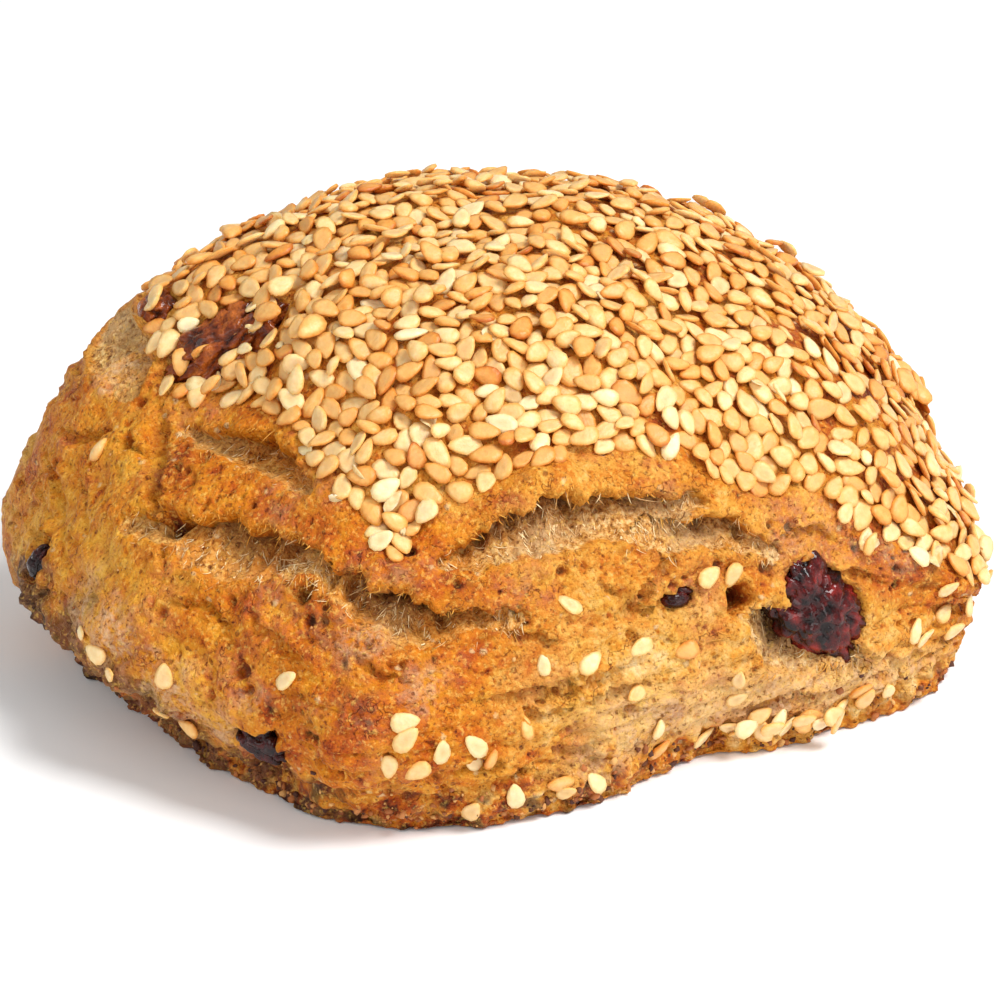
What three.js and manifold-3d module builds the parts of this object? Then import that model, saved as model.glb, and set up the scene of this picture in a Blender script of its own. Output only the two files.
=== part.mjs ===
// Square-cut bread roll: a domed top thick with sesame seeds, cut sides that tore open as the
// dough rose, and dried berries baked into it. Millimetres, +Z up. The roll stands on z = 0 with
// its middle on the origin, its longer side along X and its widest torn side facing -Y.
// A place on the crust is given as a turn, in degrees anticlockwise from +X, and as how far down
// the side it lies: 0 at the rim of the seeded top, 1 at the foot, below 0 on the top itself.

import * as THREE from "three";
import { mergeVertices } from "three/addons/utils/BufferGeometryUtils.js";
import Module from "manifold-3d";

const wasm = await Module();
wasm.setup();

// The piece of dough as it was cut
const HALF_LENGTH = 42;
const HALF_WIDTH = 37;
const SQUARENESS = 6; // power of the rounded square; 2 would be an ellipse
const CORNER = THREE.MathUtils.radToDeg(Math.atan2(HALF_WIDTH, HALF_LENGTH));
const MIDDLE = new THREE.Vector2(-0.5, -1.15); // puts the finished roll's box on the origin

// How it rose: shares of the cut square that foot, belly and rim reach, the heights of belly and
// rim in mm, and how far down the side the seeds run
const STATIONS = [
  { turn: 0, foot: 1.02, belly: 1.21, bellyZ: 11, rim: 1.12, rimZ: 28.5, seeded: 0.4 },
  { turn: CORNER, foot: 1, belly: 1.02, bellyZ: 12, rim: 0.86, rimZ: 31, seeded: 0.15 },
  { turn: 90, foot: 1, belly: 1.03, bellyZ: 13, rim: 0.97, rimZ: 36, seeded: 0 },
  { turn: 180 - CORNER, foot: 0.97, belly: 1.06, bellyZ: 10.5, rim: 0.83, rimZ: 33.5, seeded: -0.2 },
  { turn: 180, foot: 0.96, belly: 1.17, bellyZ: 12.5, rim: 0.73, rimZ: 34, seeded: -0.03 },
  { turn: 180 + CORNER, foot: 0.86, belly: 0.95, bellyZ: 12, rim: 0.76, rimZ: 29, seeded: -0.02 },
  { turn: 252, foot: 0.96, belly: 0.98, bellyZ: 12, rim: 0.82, rimZ: 32.8, seeded: -0.03 },
  { turn: 274, foot: 0.89, belly: 1, bellyZ: 12, rim: 0.87, rimZ: 34, seeded: -0.03 },
  { turn: 292, foot: 0.97, belly: 1.02, bellyZ: 9.6, rim: 0.93, rimZ: 26, seeded: 0 },
  { turn: 360 - CORNER, foot: 0.98, belly: 1, bellyZ: 6.5, rim: 1.02, rimZ: 14, seeded: 0.06 },
];
const CROWN = new THREE.Vector3(1, 6, 48); // the highest point, off the middle
const DOME_INNER = { out: 0.38, drop: 0.1 }; // shares of the rim's reach and of the dome's height
const DOME_OUTER = { out: 0.74, drop: 0.44 };
const SHOULDER = { inward: 0.38, up: 0.58 }; // shares of the way from the belly to the rim
const FOOT_HEIGHT = 3.2;
const FOOT_EDGE = { out: 0.985, height: 0.9 }; // where the foot's side turns under
const SOLE_OUT = 0.93; // the flat underside, as a share of the foot's reach
const CROWN_LEAN_POWER = 1.5; // how late on the way up the roll leans over to its crown
const HEART_HEIGHT = 16; // the point inside that the crust swells away from
const SWELL = 0.55; // the crust's slow unevenness, about 1 mm from hollow to bulge
const LONG_WAVE = { x: 0.17, y: 0.19, z: 0.11 }; // radians per mm
const SHORT_WAVE = { x: 0.27, y: 0.31, z: 0.24 };
const SHORT_WAVE_SHARE = 0.7;

// Shares of a section line, which runs from the crown over rim and foot to the underside
const RIM_SHARE = 0.3;
const FOOT_SHARE = 0.6;
const HEEL_SHARE = 0.8; // where the flat underside begins
const ROUND_STEPS = 60;
const TOP_ROWS = 7;
const SIDE_ROWS = 11;
const HEEL_ROWS = 1;

// Tears in the crust: places along each, then the widest opening and the depth in mm
const TEARS = [
  { path: [[174, 0.1], [186, 0.06], [196, 0.01], [208, -0.03]], opening: 3, depth: 2.4 },
  { path: [[178, 0.35], [190, 0.3], [198, 0.26], [206, 0.18], [215, 0.12]], opening: 6, depth: 3.6 },
  { path: [[210, 0.13], [217, 0.18], [224, 0.27], [231, 0.34], [243, 0.38]], opening: 4, depth: 4.2 },
  { path: [[229, 0.11], [239, 0.11], [249, 0.13], [260, 0.17], [277, 0.2]], opening: 4.4, depth: 3.4 },
  { path: [[260, 0.23], [274, 0.28], [288, 0.25]], opening: 3.4, depth: 3 },
  { path: [[277, 0.48], [284, 0.54], [291, 0.64], [299, 0.66]], opening: 4, depth: 3 },
  { path: [[141, -0.1], [150, -0.02], [160, 0.08]], opening: 4, depth: 1.6 },
  { path: [[66, 0.22], [80, 0.15], [94, 0.17], [108, 0.25]], opening: 5, depth: 3.6 },
  { path: [[104, 0.4], [117, 0.36], [131, 0.3]], opening: 3.6, depth: 3 },
  { path: [[-8, 0.52], [6, 0.46], [20, 0.42], [33, 0.44]], opening: 4.2, depth: 3.2 },
];
const TEAR_RIBS = 10; // steps along a tear
const TEAR_SIDES = 6;
const TEAR_FULLNESS = 0.6; // how bluntly a tear closes at its ends
const UNDERCUT = 0.45; // how far a tear works up under the crust, as a share of its depth

// Dried berries: place, half sizes along, across and through, heading of the long axis from the
// horizontal, and how deep the middle lies under the crust
const BERRIES = [
  { name: "berry_front", turn: 294, down: 0.44, half: [7.3, 3.5, 3.3], heading: -50, sunk: 1.4 },
  { name: "berry_top", turn: 165.5, down: -0.18, half: [8.2, 4, 3.3], heading: 62, sunk: 1.6 },
  { name: "berry_rim", turn: 147, down: -0.19, half: [3.2, 2.2, 2.2], heading: 20, sunk: 1.2 },
  { name: "berry_left", turn: 205.7, down: 0.81, half: [3.5, 2.5, 2.4], heading: -28, sunk: 1.4 },
  { name: "berry_corner", turn: 161, down: 0.56, half: [2.4, 1.8, 1.8], heading: 80, sunk: 0.9 },
  { name: "berry_crack", turn: 269.3, down: 0.46, half: [1.9, 1.4, 1.4], heading: 15, sunk: 0.7 },
  { name: "berry_back", turn: 74, down: 0.5, half: [5.6, 3.7, 3.2], heading: 30, sunk: 1.5 },
];
const BERRY_GAP = 0.35; // between a berry and its pocket in the dough
const BERRY_WRINKLE = 0.07; // of its size

// Sesame seeds, hulled, lying on the crust
const SEED_HALF = new THREE.Vector3(1.6, 1.02, 0.8);
const SEED_TAPER = 0.38; // how much narrower the pointed end is
const SEED_LIFT = 0; // of the seed's middle over the crust
const SEED_SPACING = 6.4;
const SEED_HOLD = 0.15; // least share of a seed that is sunk in the crust
const SEED_DRAWS = 6000;
const STRAY_SEEDS = [
  { turn: 224, down: 0.1, yaw: 60 },
  { turn: 222, down: 0.82, yaw: 75 },
  { turn: 227, down: 0.9, yaw: -60 },
  { turn: 232, down: 0.76, yaw: 20 },
  { turn: 236, down: 0.92, yaw: 30 },
  { turn: 243, down: 0.78, yaw: 80 },
  { turn: 251, down: 0.46, yaw: 70 },
  { turn: 254, down: 0.62, yaw: 25 },
  { turn: 262, down: 0.66, yaw: 15 },
  { turn: 268, down: 0.84, yaw: 85 },
  { turn: 270, down: 0.62, yaw: 5 },
  { turn: 276, down: 0.36, yaw: 20 },
  { turn: 281, down: 0.78, yaw: 80 },
  { turn: 288, down: 0.94, yaw: 20 },
  { turn: 296, down: 0.96, yaw: 60 },
  { turn: 303, down: 0.86, yaw: 10 },
  { turn: 318, down: 0.5, yaw: 50 },
  { turn: 196, down: 0.96, yaw: 65 },
  { turn: 183, down: 0.97, yaw: 50 },
  { turn: 100, down: 0.7, yaw: 30 },
  { turn: 60, down: 0.62, yaw: 70 },
  { turn: 12, down: 0.78, yaw: 15 },
];
const RANDOM_SEED = 7041;

const lerp = THREE.MathUtils.lerp;
const radians = THREE.MathUtils.degToRad;

// A small repeatable random number from 0 to 1
let drawn = RANDOM_SEED;
function random() {
  drawn = (drawn * 16807) % 2147483647;
  return drawn / 2147483647;
}

// Reach of the cut square's edge from the middle at a turn
function squareReach(turn) {
  const along = Math.abs(Math.cos(radians(turn)) / HALF_LENGTH) ** SQUARENESS;
  const across = Math.abs(Math.sin(radians(turn)) / HALF_WIDTH) ** SQUARENESS;
  return (along + across) ** (-1 / SQUARENESS);
}

// The stations' values at any turn, eased from one station to the next
function stationAt(turn) {
  const round = ((turn % 360) + 360) % 360;
  const last = STATIONS.findLastIndex((station) => station.turn <= round);
  const from = STATIONS[last];
  const to = STATIONS[(last + 1) % STATIONS.length];
  const gap = last + 1 < STATIONS.length ? to.turn - from.turn : 360 - from.turn;
  const eased = THREE.MathUtils.smoothstep((round - from.turn) / gap, 0, 1);
  const keys = ["foot", "belly", "bellyZ", "rim", "rimZ", "seeded"];
  return Object.fromEntries(keys.map((key) => [key, lerp(from[key], to[key], eased)]));
}

// The line from the crown to the middle of the underside at a turn, as reach and height
function sectionLine(turn) {
  const { foot, belly, bellyZ, rim, rimZ } = stationAt(turn);
  const reach = squareReach(turn);
  const dome = CROWN.z - rimZ;
  return new THREE.SplineCurve([
    new THREE.Vector2(0, CROWN.z),
    new THREE.Vector2(DOME_INNER.out * rim * reach, CROWN.z - DOME_INNER.drop * dome),
    new THREE.Vector2(DOME_OUTER.out * rim * reach, CROWN.z - DOME_OUTER.drop * dome),
    new THREE.Vector2(rim * reach, rimZ),
    new THREE.Vector2(
      lerp(belly, rim, SHOULDER.inward) * reach,
      lerp(bellyZ, rimZ, SHOULDER.up),
    ),
    new THREE.Vector2(belly * reach, bellyZ),
    new THREE.Vector2(foot * reach, FOOT_HEIGHT),
    new THREE.Vector2(FOOT_EDGE.out * foot * reach, FOOT_EDGE.height),
    new THREE.Vector2(SOLE_OUT * foot * reach, 0),
    new THREE.Vector2(0.5 * SOLE_OUT * foot * reach, 0),
    new THREE.Vector2(0, 0),
  ]);
}

// The hand-shaped unevenness of the crust at a point, in mm
function swellAt({ x, y, z }) {
  const long =
    Math.sin(LONG_WAVE.x * x + LONG_WAVE.z * z + 0.6) * Math.cos(LONG_WAVE.y * y - 0.3);
  const short =
    Math.sin(SHORT_WAVE.y * y + SHORT_WAVE.z * z - 1.1) * Math.cos(SHORT_WAVE.x * x + 0.4);
  return SWELL * (long + SHORT_WAVE_SHARE * short);
}

// The point of the crust at a turn and a share of its section line
function crustPoint(turn, share, section = sectionLine(turn)) {
  const at = section.getPoint(share);
  const height = share >= HEEL_SHARE ? 0 : Math.max(at.y, 0);
  const lean = (height / CROWN.z) ** CROWN_LEAN_POWER;
  const point = new THREE.Vector3(
    at.x * Math.cos(radians(turn)) + CROWN.x * lean + MIDDLE.x,
    at.x * Math.sin(radians(turn)) + CROWN.y * lean + MIDDLE.y,
    height,
  );
  const outward = point.clone().setZ(point.z - HEART_HEIGHT).normalize();
  const hold = Math.min(1, height / (2 * FOOT_HEIGHT)); // the foot stays flat on the table
  return point.addScaledVector(outward, swellAt(point) * hold);
}

// The crust's point, outward normal, and level and rising directions at a turn and a way down
function crustFrame(turn, down) {
  const share = lerp(RIM_SHARE, FOOT_SHARE, down);
  const point = crustPoint(turn, share);
  const level = crustPoint(turn + 0.5, share).sub(crustPoint(turn - 0.5, share)).normalize();
  const rising = crustPoint(turn, Math.max(share - 0.01, 0)).sub(crustPoint(turn, share + 0.01));
  const normal = new THREE.Vector3().crossVectors(level, rising).normalize();
  return { point, normal, level, rising: new THREE.Vector3().crossVectors(normal, level) };
}

// A closed geometry, its doubled points joined, as a solid that can be cut and joined
function solidFrom(geometry) {
  geometry.deleteAttribute("normal");
  geometry.deleteAttribute("uv");
  const merged = mergeVertices(geometry, 1e-3);
  const vertProperties = merged.attributes.position.array;
  const triVerts = new Uint32Array(merged.index.array);
  return new wasm.Manifold(new wasm.Mesh({ numProp: 3, vertProperties, triVerts }));
}

// A solid's surface as geometry again
function geometryFrom(solid) {
  const { vertProperties, triVerts } = solid.getMesh();
  return new THREE.BufferGeometry()
    .setAttribute("position", new THREE.BufferAttribute(vertProperties, 3))
    .setIndex(new THREE.BufferAttribute(triVerts, 1));
}

// Moves each point of a geometry to where place() puts it
function shaped(geometry, place) {
  const { position, uv } = geometry.attributes;
  const point = new THREE.Vector3();
  for (let i = 0; i < position.count; i += 1) {
    point.fromBufferAttribute(position, i);
    position.setXYZ(i, ...place(point, uv.getX(i), uv.getY(i)));
  }
  return geometry;
}

// The dough, from a sphere whose rows and columns become section shares and turns
function doughSolid() {
  const rows = TOP_ROWS + SIDE_ROWS + HEEL_ROWS + 1;
  const shareOf = (row) => {
    if (row <= TOP_ROWS) return (RIM_SHARE * row) / TOP_ROWS;
    if (row <= TOP_ROWS + SIDE_ROWS)
      return lerp(RIM_SHARE, FOOT_SHARE, (row - TOP_ROWS) / SIDE_ROWS);
    if (row < rows)
      return lerp(FOOT_SHARE, HEEL_SHARE, (row - TOP_ROWS - SIDE_ROWS) / HEEL_ROWS);
    return 1;
  };
  const sphere = new THREE.SphereGeometry(1, ROUND_STEPS, rows);
  return solidFrom(
    shaped(sphere, (point, u, v) => {
      const row = Math.round((1 - v) * rows);
      const pole = row === 0 || row === rows;
      return crustPoint(pole ? 0 : u * 360, shareOf(row));
    }),
  );
}

// The space of one tear: a spindle along the crust that runs in and up under its upper lip
function tearSolid({ path, opening, depth }) {
  const route = new THREE.SplineCurve(path.map(([turn, down]) => new THREE.Vector2(turn, down)));
  const spindle = new THREE.SphereGeometry(1, TEAR_SIDES, TEAR_RIBS);
  return solidFrom(
    shaped(spindle, ({ x, z }, u, v) => {
      const along = 1 - v;
      const place = route.getPoint(along);
      const { point, normal, rising } = crustFrame(place.x, place.y);
      const girth = Math.hypot(x, z);
      const fullness = girth > 1e-6 ? girth ** (TEAR_FULLNESS - 1) : 0;
      const inward = -z * fullness * depth;
      return point
        .addScaledVector(normal, -inward)
        .addScaledVector(rising, x * fullness * (opening / 2) + Math.max(inward, 0) * UNDERCUT);
    }),
  );
}

// A wrinkled dried berry at its place, grown by a margin all round
function berrySolid({ turn, down, half, heading, sunk }, margin = 0) {
  const { point, normal, level, rising } = crustFrame(turn, down);
  const along = level.clone().applyAxisAngle(normal, radians(heading));
  const across = new THREE.Vector3().crossVectors(along, normal);
  const middle = point.clone().addScaledVector(normal, -sunk);
  return solidFrom(
    shaped(new THREE.SphereGeometry(1, 12, 9), ({ x, y, z }) => {
      const wrinkle = 1 + BERRY_WRINKLE * Math.sin(5 * z + 2 * y + 3 * x) * Math.cos(3 * z - turn);
      return middle
        .clone()
        .addScaledVector(along, y * (half[0] * wrinkle + margin))
        .addScaledVector(across, x * (half[1] * wrinkle + margin))
        .addScaledVector(normal, z * (half[2] * wrinkle + margin));
    }),
  );
}

// One seed on the crust: a flattened drop, with yaw turning it on the spot
function seedSolid({ turn, down, yaw }) {
  const { point, normal, level } = crustFrame(turn, down);
  const along = level.clone().applyAxisAngle(normal, radians(yaw));
  const across = new THREE.Vector3().crossVectors(along, normal);
  const middle = point.clone().addScaledVector(normal, SEED_LIFT);
  return solidFrom(
    shaped(new THREE.SphereGeometry(1, 6, 3), ({ x, y, z }) =>
      middle
        .clone()
        .addScaledVector(along, y * SEED_HALF.x)
        .addScaledVector(across, x * SEED_HALF.y * (1 - SEED_TAPER * y))
        .addScaledVector(normal, z * SEED_HALF.z),
    ),
  );
}

// Places for seeds all over the top, drawn at random and kept where a seed has room
function seedPlaces() {
  const berries = BERRIES.map((berry) => ({ ...crustFrame(berry.turn, berry.down), ...berry }));
  const kept = [];
  for (let draw = 0; draw < SEED_DRAWS; draw += 1) {
    const turn = 360 * random();
    const share = lerp(RIM_SHARE, FOOT_SHARE, stationAt(turn).seeded) * Math.sqrt(random());
    const point = crustPoint(turn, share);
    const crowded = kept.some((seed) => seed.point.distanceTo(point) < SEED_SPACING);
    const onBerry = berries.some(
      (berry) => berry.point.distanceTo(point) < berry.half[0] + SEED_HALF.x + BERRY_GAP,
    );
    if (crowded || onBerry) continue;
    const down = (share - RIM_SHARE) / (FOOT_SHARE - RIM_SHARE);
    kept.push({ turn, down, yaw: 360 * random(), point });
  }
  return kept;
}

// The dough, torn, with the seeds that it holds, and a pocket for each berry
function rollSolid() {
  const torn = TEARS.reduce((dough, tear) => dough.subtract(tearSolid(tear)), doughSolid());
  const seeds = [...seedPlaces(), ...STRAY_SEEDS].map(seedSolid);
  const held = seeds.filter((seed) => torn.intersect(seed).volume() > SEED_HOLD * seed.volume());
  const seeded = held.reduce((dough, seed) => dough.add(seed), torn);
  const pocketed = BERRIES.reduce(
    (dough, berry) => dough.subtract(berrySolid(berry, BERRY_GAP)),
    seeded,
  );
  return pocketed.decompose().reduce((a, b) => (a.volume() > b.volume() ? a : b));
}

const crustFinish = new THREE.MeshStandardMaterial({ color: 0xd49a55, roughness: 0.75 });
const berryFinish = new THREE.MeshStandardMaterial({ color: 0x4a1512, roughness: 0.4 });

function part(name, solid, material) {
  const mesh = new THREE.Mesh(geometryFrom(solid), material);
  mesh.name = name;
  mesh.geometry.computeVertexNormals();
  return mesh;
}

const roll = new THREE.Group();
roll.add(part("bread_roll", rollSolid(), crustFinish));
for (const berry of BERRIES) roll.add(part(berry.name, berrySolid(berry), berryFinish));

export default roll;
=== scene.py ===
import math

import bpy
import numpy as np
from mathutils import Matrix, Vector
from mathutils.bvhtree import BVHTree


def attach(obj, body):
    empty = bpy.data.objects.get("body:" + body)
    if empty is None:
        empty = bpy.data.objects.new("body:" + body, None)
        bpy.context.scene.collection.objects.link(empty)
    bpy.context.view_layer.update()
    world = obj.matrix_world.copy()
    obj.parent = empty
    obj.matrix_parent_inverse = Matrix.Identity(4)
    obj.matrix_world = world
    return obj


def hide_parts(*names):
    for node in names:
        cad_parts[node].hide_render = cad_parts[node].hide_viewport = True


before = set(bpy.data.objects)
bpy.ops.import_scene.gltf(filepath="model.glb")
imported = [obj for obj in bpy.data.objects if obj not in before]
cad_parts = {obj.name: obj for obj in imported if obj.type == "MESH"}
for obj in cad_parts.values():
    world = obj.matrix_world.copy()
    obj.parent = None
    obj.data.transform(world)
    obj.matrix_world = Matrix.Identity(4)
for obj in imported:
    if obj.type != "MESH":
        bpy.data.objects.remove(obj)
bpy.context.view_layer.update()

bpy.ops.object.select_all(action="DESELECT")

# The view: a long lens a little above the table, turned to the roll's near corner so that the
# torn left and front sides both show, with the whole roll in the square picture.
CAMERA_TURN = math.radians(-33.0)
CAMERA_RISE = math.radians(24.5)
CAMERA_DISTANCE = 0.48
CAMERA_LENS = 162.4
CAMERA_TARGET = Vector((-0.0003, -0.0010, 0.0176))

away = Vector(
    (
        math.sin(CAMERA_TURN) * math.cos(CAMERA_RISE),
        -math.cos(CAMERA_TURN) * math.cos(CAMERA_RISE),
        math.sin(CAMERA_RISE),
    )
)
bpy.ops.object.camera_add(location=CAMERA_TARGET + away * CAMERA_DISTANCE)
camera = bpy.context.object
camera.rotation_euler = away.to_track_quat("Z", "Y").to_euler()
camera.data.lens = CAMERA_LENS
camera.data.sensor_width = 36.0
camera.data.clip_start = 0.01
bpy.context.scene.camera = camera
bpy.context.scene.view_settings.view_transform = "Standard"


# The table is a plain white sheet, and the light is a studio's: a broad soft box high on the
# right, a weaker one on the left, a low one near the camera, and a white room all round.
def seen(red, green, blue):
    """A colour as it is seen, from 0 to 255, as light."""
    parts = [channel / 255 for channel in (red, green, blue)]
    light = [part / 12.92 if part < 0.0405 else ((part + 0.055) / 1.055) ** 2.4 for part in parts]
    return (*light, 1.0)


def new_finish(name):
    """A material, its node tree and its shader."""
    finish = bpy.data.materials.new(name)
    finish.use_nodes = True
    return finish, finish.node_tree, finish.node_tree.nodes["Principled BSDF"]


def set_inputs(node, inputs):
    """A node's inputs, set to values or linked from other nodes' outputs."""
    for key, value in inputs.items():
        if isinstance(value, bpy.types.NodeSocket):
            node.id_data.links.new(value, node.inputs[key])
        else:
            node.inputs[key].default_value = value


def add_node(tree, kind, inputs=None, **settings):
    """A new node with its settings and inputs."""
    node = tree.nodes.new(kind)
    for key, value in settings.items():
        setattr(node, key, value)
    set_inputs(node, inputs or {})
    return node


TABLE_SIZE = 3.0
bpy.ops.mesh.primitive_plane_add(size=TABLE_SIZE, location=(0, 0, -0.00005))
table = bpy.context.object
table.name = "table"
table_finish, table_tree, table_shader = new_finish("white_sheet")
sheet_grain = add_node(table_tree, "ShaderNodeTexNoise", {"Scale": 40.0, "Detail": 2.0})
sheet_ramp = add_node(table_tree, "ShaderNodeValToRGB", {"Fac": sheet_grain.outputs["Fac"]})
sheet_ramp.color_ramp.elements[0].color = seen(250, 250, 250)
sheet_ramp.color_ramp.elements[1].color = seen(253, 253, 253)
set_inputs(table_shader, {"Base Color": sheet_ramp.outputs["Color"], "Roughness": 0.9})
table.data.materials.append(table_finish)

SOFT_BOXES = (
    # place in metres, side in metres, watts
    ((0.28, -0.42, 0.78), 0.36, 8.0),
    ((-0.65, -0.15, 0.50), 0.5, 1.8),
    ((0.00, -0.85, 0.30), 0.4, 1.8),
)
for place, side, watts in SOFT_BOXES:
    bpy.ops.object.light_add(type="AREA", location=place)
    soft_box = bpy.context.object
    soft_box.data.size = side
    soft_box.data.energy = watts
    soft_box.rotation_euler = Vector(place).to_track_quat("Z", "Y").to_euler()

ROOM_LIGHT = 0.42
room = bpy.data.worlds.new("white_room")
room.use_nodes = True
room.node_tree.nodes["Background"].inputs["Color"].default_value = (1.0, 1.0, 1.0, 1.0)
room.node_tree.nodes["Background"].inputs["Strength"].default_value = ROOM_LIGHT
bpy.context.scene.world = room


# The dough is one piece of wheat and rye, cut square, risen to a dome and baked on its flat foot.
# Its crust is a round grid drawn out to the roll's shape, then torn open, wrinkled and pitted.
# Lengths are in mm here. A turn is an angle from +X in degrees, and down is the way down the
# side, 0 at the seeded top's rim and 1 at the foot.
MM = 0.001  # a millimetre in metres
HALF_LENGTH = 42.0
HALF_WIDTH = 37.0
SQUARENESS = 6.0
CORNER = math.degrees(math.atan2(HALF_WIDTH, HALF_LENGTH))
MIDDLE = np.array((-0.5, -1.15))
CROWN = (1.0, 6.0, 48.0)
DOME_INNER = (0.38, 0.10)
DOME_OUTER = (0.74, 0.44)
SHOULDER = (0.38, 0.58)
FOOT_HEIGHT = 3.2
FOOT_EDGE = (0.985, 0.9)
SOLE_OUT = 0.93
CROWN_LEAN_POWER = 1.5
HEART_HEIGHT = 16.0
RIM_SHARE = 0.3
FOOT_SHARE = 0.6
HEEL_SHARE = 0.8

# turn, foot, belly, belly height, rim, rim height: shares of the cut square, and mm
STATIONS = np.array(
    (
        (0.0, 1.02, 1.21, 11.0, 1.12, 28.5),
        (CORNER, 1.00, 1.02, 12.0, 0.86, 31.0),
        (90.0, 1.00, 1.03, 13.0, 0.97, 36.0),
        (180.0 - CORNER, 0.97, 1.06, 10.5, 0.83, 33.5),
        (180.0, 0.96, 1.17, 12.5, 0.73, 34.0),
        (180.0 + CORNER, 0.86, 0.95, 12.0, 0.76, 29.0),
        (252.0, 0.96, 0.98, 12.0, 0.82, 32.8),
        (274.0, 0.89, 1.00, 12.0, 0.87, 34.0),
        (292.0, 0.97, 1.02, 9.6, 0.93, 26.0),
        (360.0 - CORNER, 0.98, 1.00, 6.5, 1.02, 14.0),
        (360.0, 1.02, 1.21, 11.0, 1.12, 28.5),
    )
)


def eased(values, low, high):
    """0 below low, 1 above high, and smooth between."""
    share = np.clip((values - low) / (high - low), 0.0, 1.0)
    return share * share * (3.0 - 2.0 * share)


def within(values, rise, risen, fall, fallen):
    """1 from risen to fall, 0 outside rise and fallen, and smooth between."""
    return eased(values, rise, risen) * (1.0 - eased(values, fall, fallen))


def bell(values, middle, spread):
    """1 at the middle, fading to 0 on both sides."""
    return np.exp(-(((values - middle) / spread) ** 2))


def stations_at(turns):
    turns = np.mod(turns, 360.0)
    last = np.clip(np.searchsorted(STATIONS[:, 0], turns, side="right") - 1, 0, len(STATIONS) - 2)
    start, end = STATIONS[last], STATIONS[last + 1]
    way = (turns - start[..., 0]) / (end[..., 0] - start[..., 0])
    way = (way * way * (3.0 - 2.0 * way))[..., None]
    blended = start * (1.0 - way) + end * way
    return [blended[..., column] for column in range(1, 6)]


def along_line(knots, shares):
    """The value at shares of the smooth curve through the knots, one row of knots a point."""
    last = knots.shape[-1] - 1
    place = np.clip(shares, 0.0, 1.0) * last
    first = np.minimum(np.floor(place).astype(int), last)
    way = place - first

    def knot(index):
        return np.take_along_axis(knots, np.clip(index, 0, last)[..., None], -1)[..., 0]

    before, start, end, after = knot(first - 1), knot(first), knot(first + 1), knot(first + 2)
    leave, arrive = (end - before) / 2.0, (after - start) / 2.0
    cubic = 2.0 * start - 2.0 * end + leave + arrive
    square = -3.0 * start + 3.0 * end - 2.0 * leave - arrive
    return cubic * way**3 + square * way**2 + leave * way + start


def crust_points(turns, shares):
    """Points of the untorn crust, in mm."""
    turns, shares = np.broadcast_arrays(np.asarray(turns, float), np.asarray(shares, float))
    foot, belly, belly_z, rim, rim_z = stations_at(turns)
    angle = np.radians(turns)
    across = np.abs(np.cos(angle) / HALF_LENGTH) ** SQUARENESS
    across = across + np.abs(np.sin(angle) / HALF_WIDTH) ** SQUARENESS
    reach = across ** (-1.0 / SQUARENESS)
    none = np.zeros_like(reach)
    top = none + CROWN[2]
    dome = top - rim_z
    lean_in = belly + (rim - belly) * SHOULDER[0]
    outs = (0.0, DOME_INNER[0] * rim, DOME_OUTER[0] * rim, rim, lean_in, belly, foot)
    outs += (FOOT_EDGE[0] * foot, SOLE_OUT * foot, 0.5 * SOLE_OUT * foot, 0.0)
    heights = (top, top - DOME_INNER[1] * dome, top - DOME_OUTER[1] * dome, rim_z)
    heights += (belly_z + (rim_z - belly_z) * SHOULDER[1], belly_z, none + FOOT_HEIGHT)
    heights += (none + FOOT_EDGE[1], none, none, none)
    out = along_line(np.stack([reach * share for share in outs], -1), shares)
    height = np.maximum(along_line(np.stack(heights, -1), shares), 0.0)
    height = np.where(shares >= HEEL_SHARE, 0.0, height)
    lean = (height / CROWN[2]) ** CROWN_LEAN_POWER
    x = out * np.cos(angle) + CROWN[0] * lean + MIDDLE[0]
    y = out * np.sin(angle) + CROWN[1] * lean + MIDDLE[1]
    points = np.stack((x, y, height), -1)
    outward = points - (0.0, 0.0, HEART_HEIGHT)
    outward /= np.linalg.norm(outward, axis=-1, keepdims=True) + 1e-9
    long_swell = np.sin(0.17 * x + 0.11 * height + 0.6) * np.cos(0.19 * y - 0.3)
    short_swell = np.sin(0.31 * y + 0.24 * height - 1.1) * np.cos(0.27 * x + 0.4)
    swell = 0.55 * (long_swell + 0.7 * short_swell)
    hold = np.minimum(1.0, height / (2.0 * FOOT_HEIGHT))
    return points + outward * (swell * hold)[..., None]


def unit(vectors):
    return vectors / (np.linalg.norm(vectors, axis=-1, keepdims=True) + 1e-12)


def crust_frames(turns, shares):
    """Points of the untorn crust with their outward and downhill directions."""
    shares = np.asarray(shares, float)
    points = crust_points(turns, shares)
    level = crust_points(turns + 0.4, shares) - crust_points(turns - 0.4, shares)
    higher = crust_points(turns, np.maximum(shares - 0.004, 0.0))
    rising = higher - crust_points(turns, np.minimum(shares + 0.004, 1.0))
    normals = unit(np.cross(level, rising))
    return points, normals, -unit(rising)


def down_share(down):
    return RIM_SHARE + (FOOT_SHARE - RIM_SHARE) * np.asarray(down, float)


# random directions on a lattice, for smooth random relief
LATTICE = 32
lattice = unit(np.random.default_rng(5).normal(size=(LATTICE, LATTICE, LATTICE, 3)))


def relief(points, size, key=0):
    """Smooth random relief from about -1 to 1, with bumps about size mm across."""
    place = np.asarray(points, float) / size + np.array((3.7, 7.1, 5.3)) * (key + 1)
    cell = np.floor(place).astype(int)
    part = place - cell
    ease = part**3 * (part * (part * 6.0 - 15.0) + 10.0)
    total = np.zeros(place.shape[:-1])
    for corner in np.ndindex(2, 2, 2):
        picked = np.mod(cell + corner, LATTICE)
        slope = lattice[picked[..., 0], picked[..., 1], picked[..., 2]]
        weight = np.prod(np.where(corner, ease, 1.0 - ease), -1)
        total += weight * np.sum(slope * (part - corner), -1)
    return total * 1.6


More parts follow.
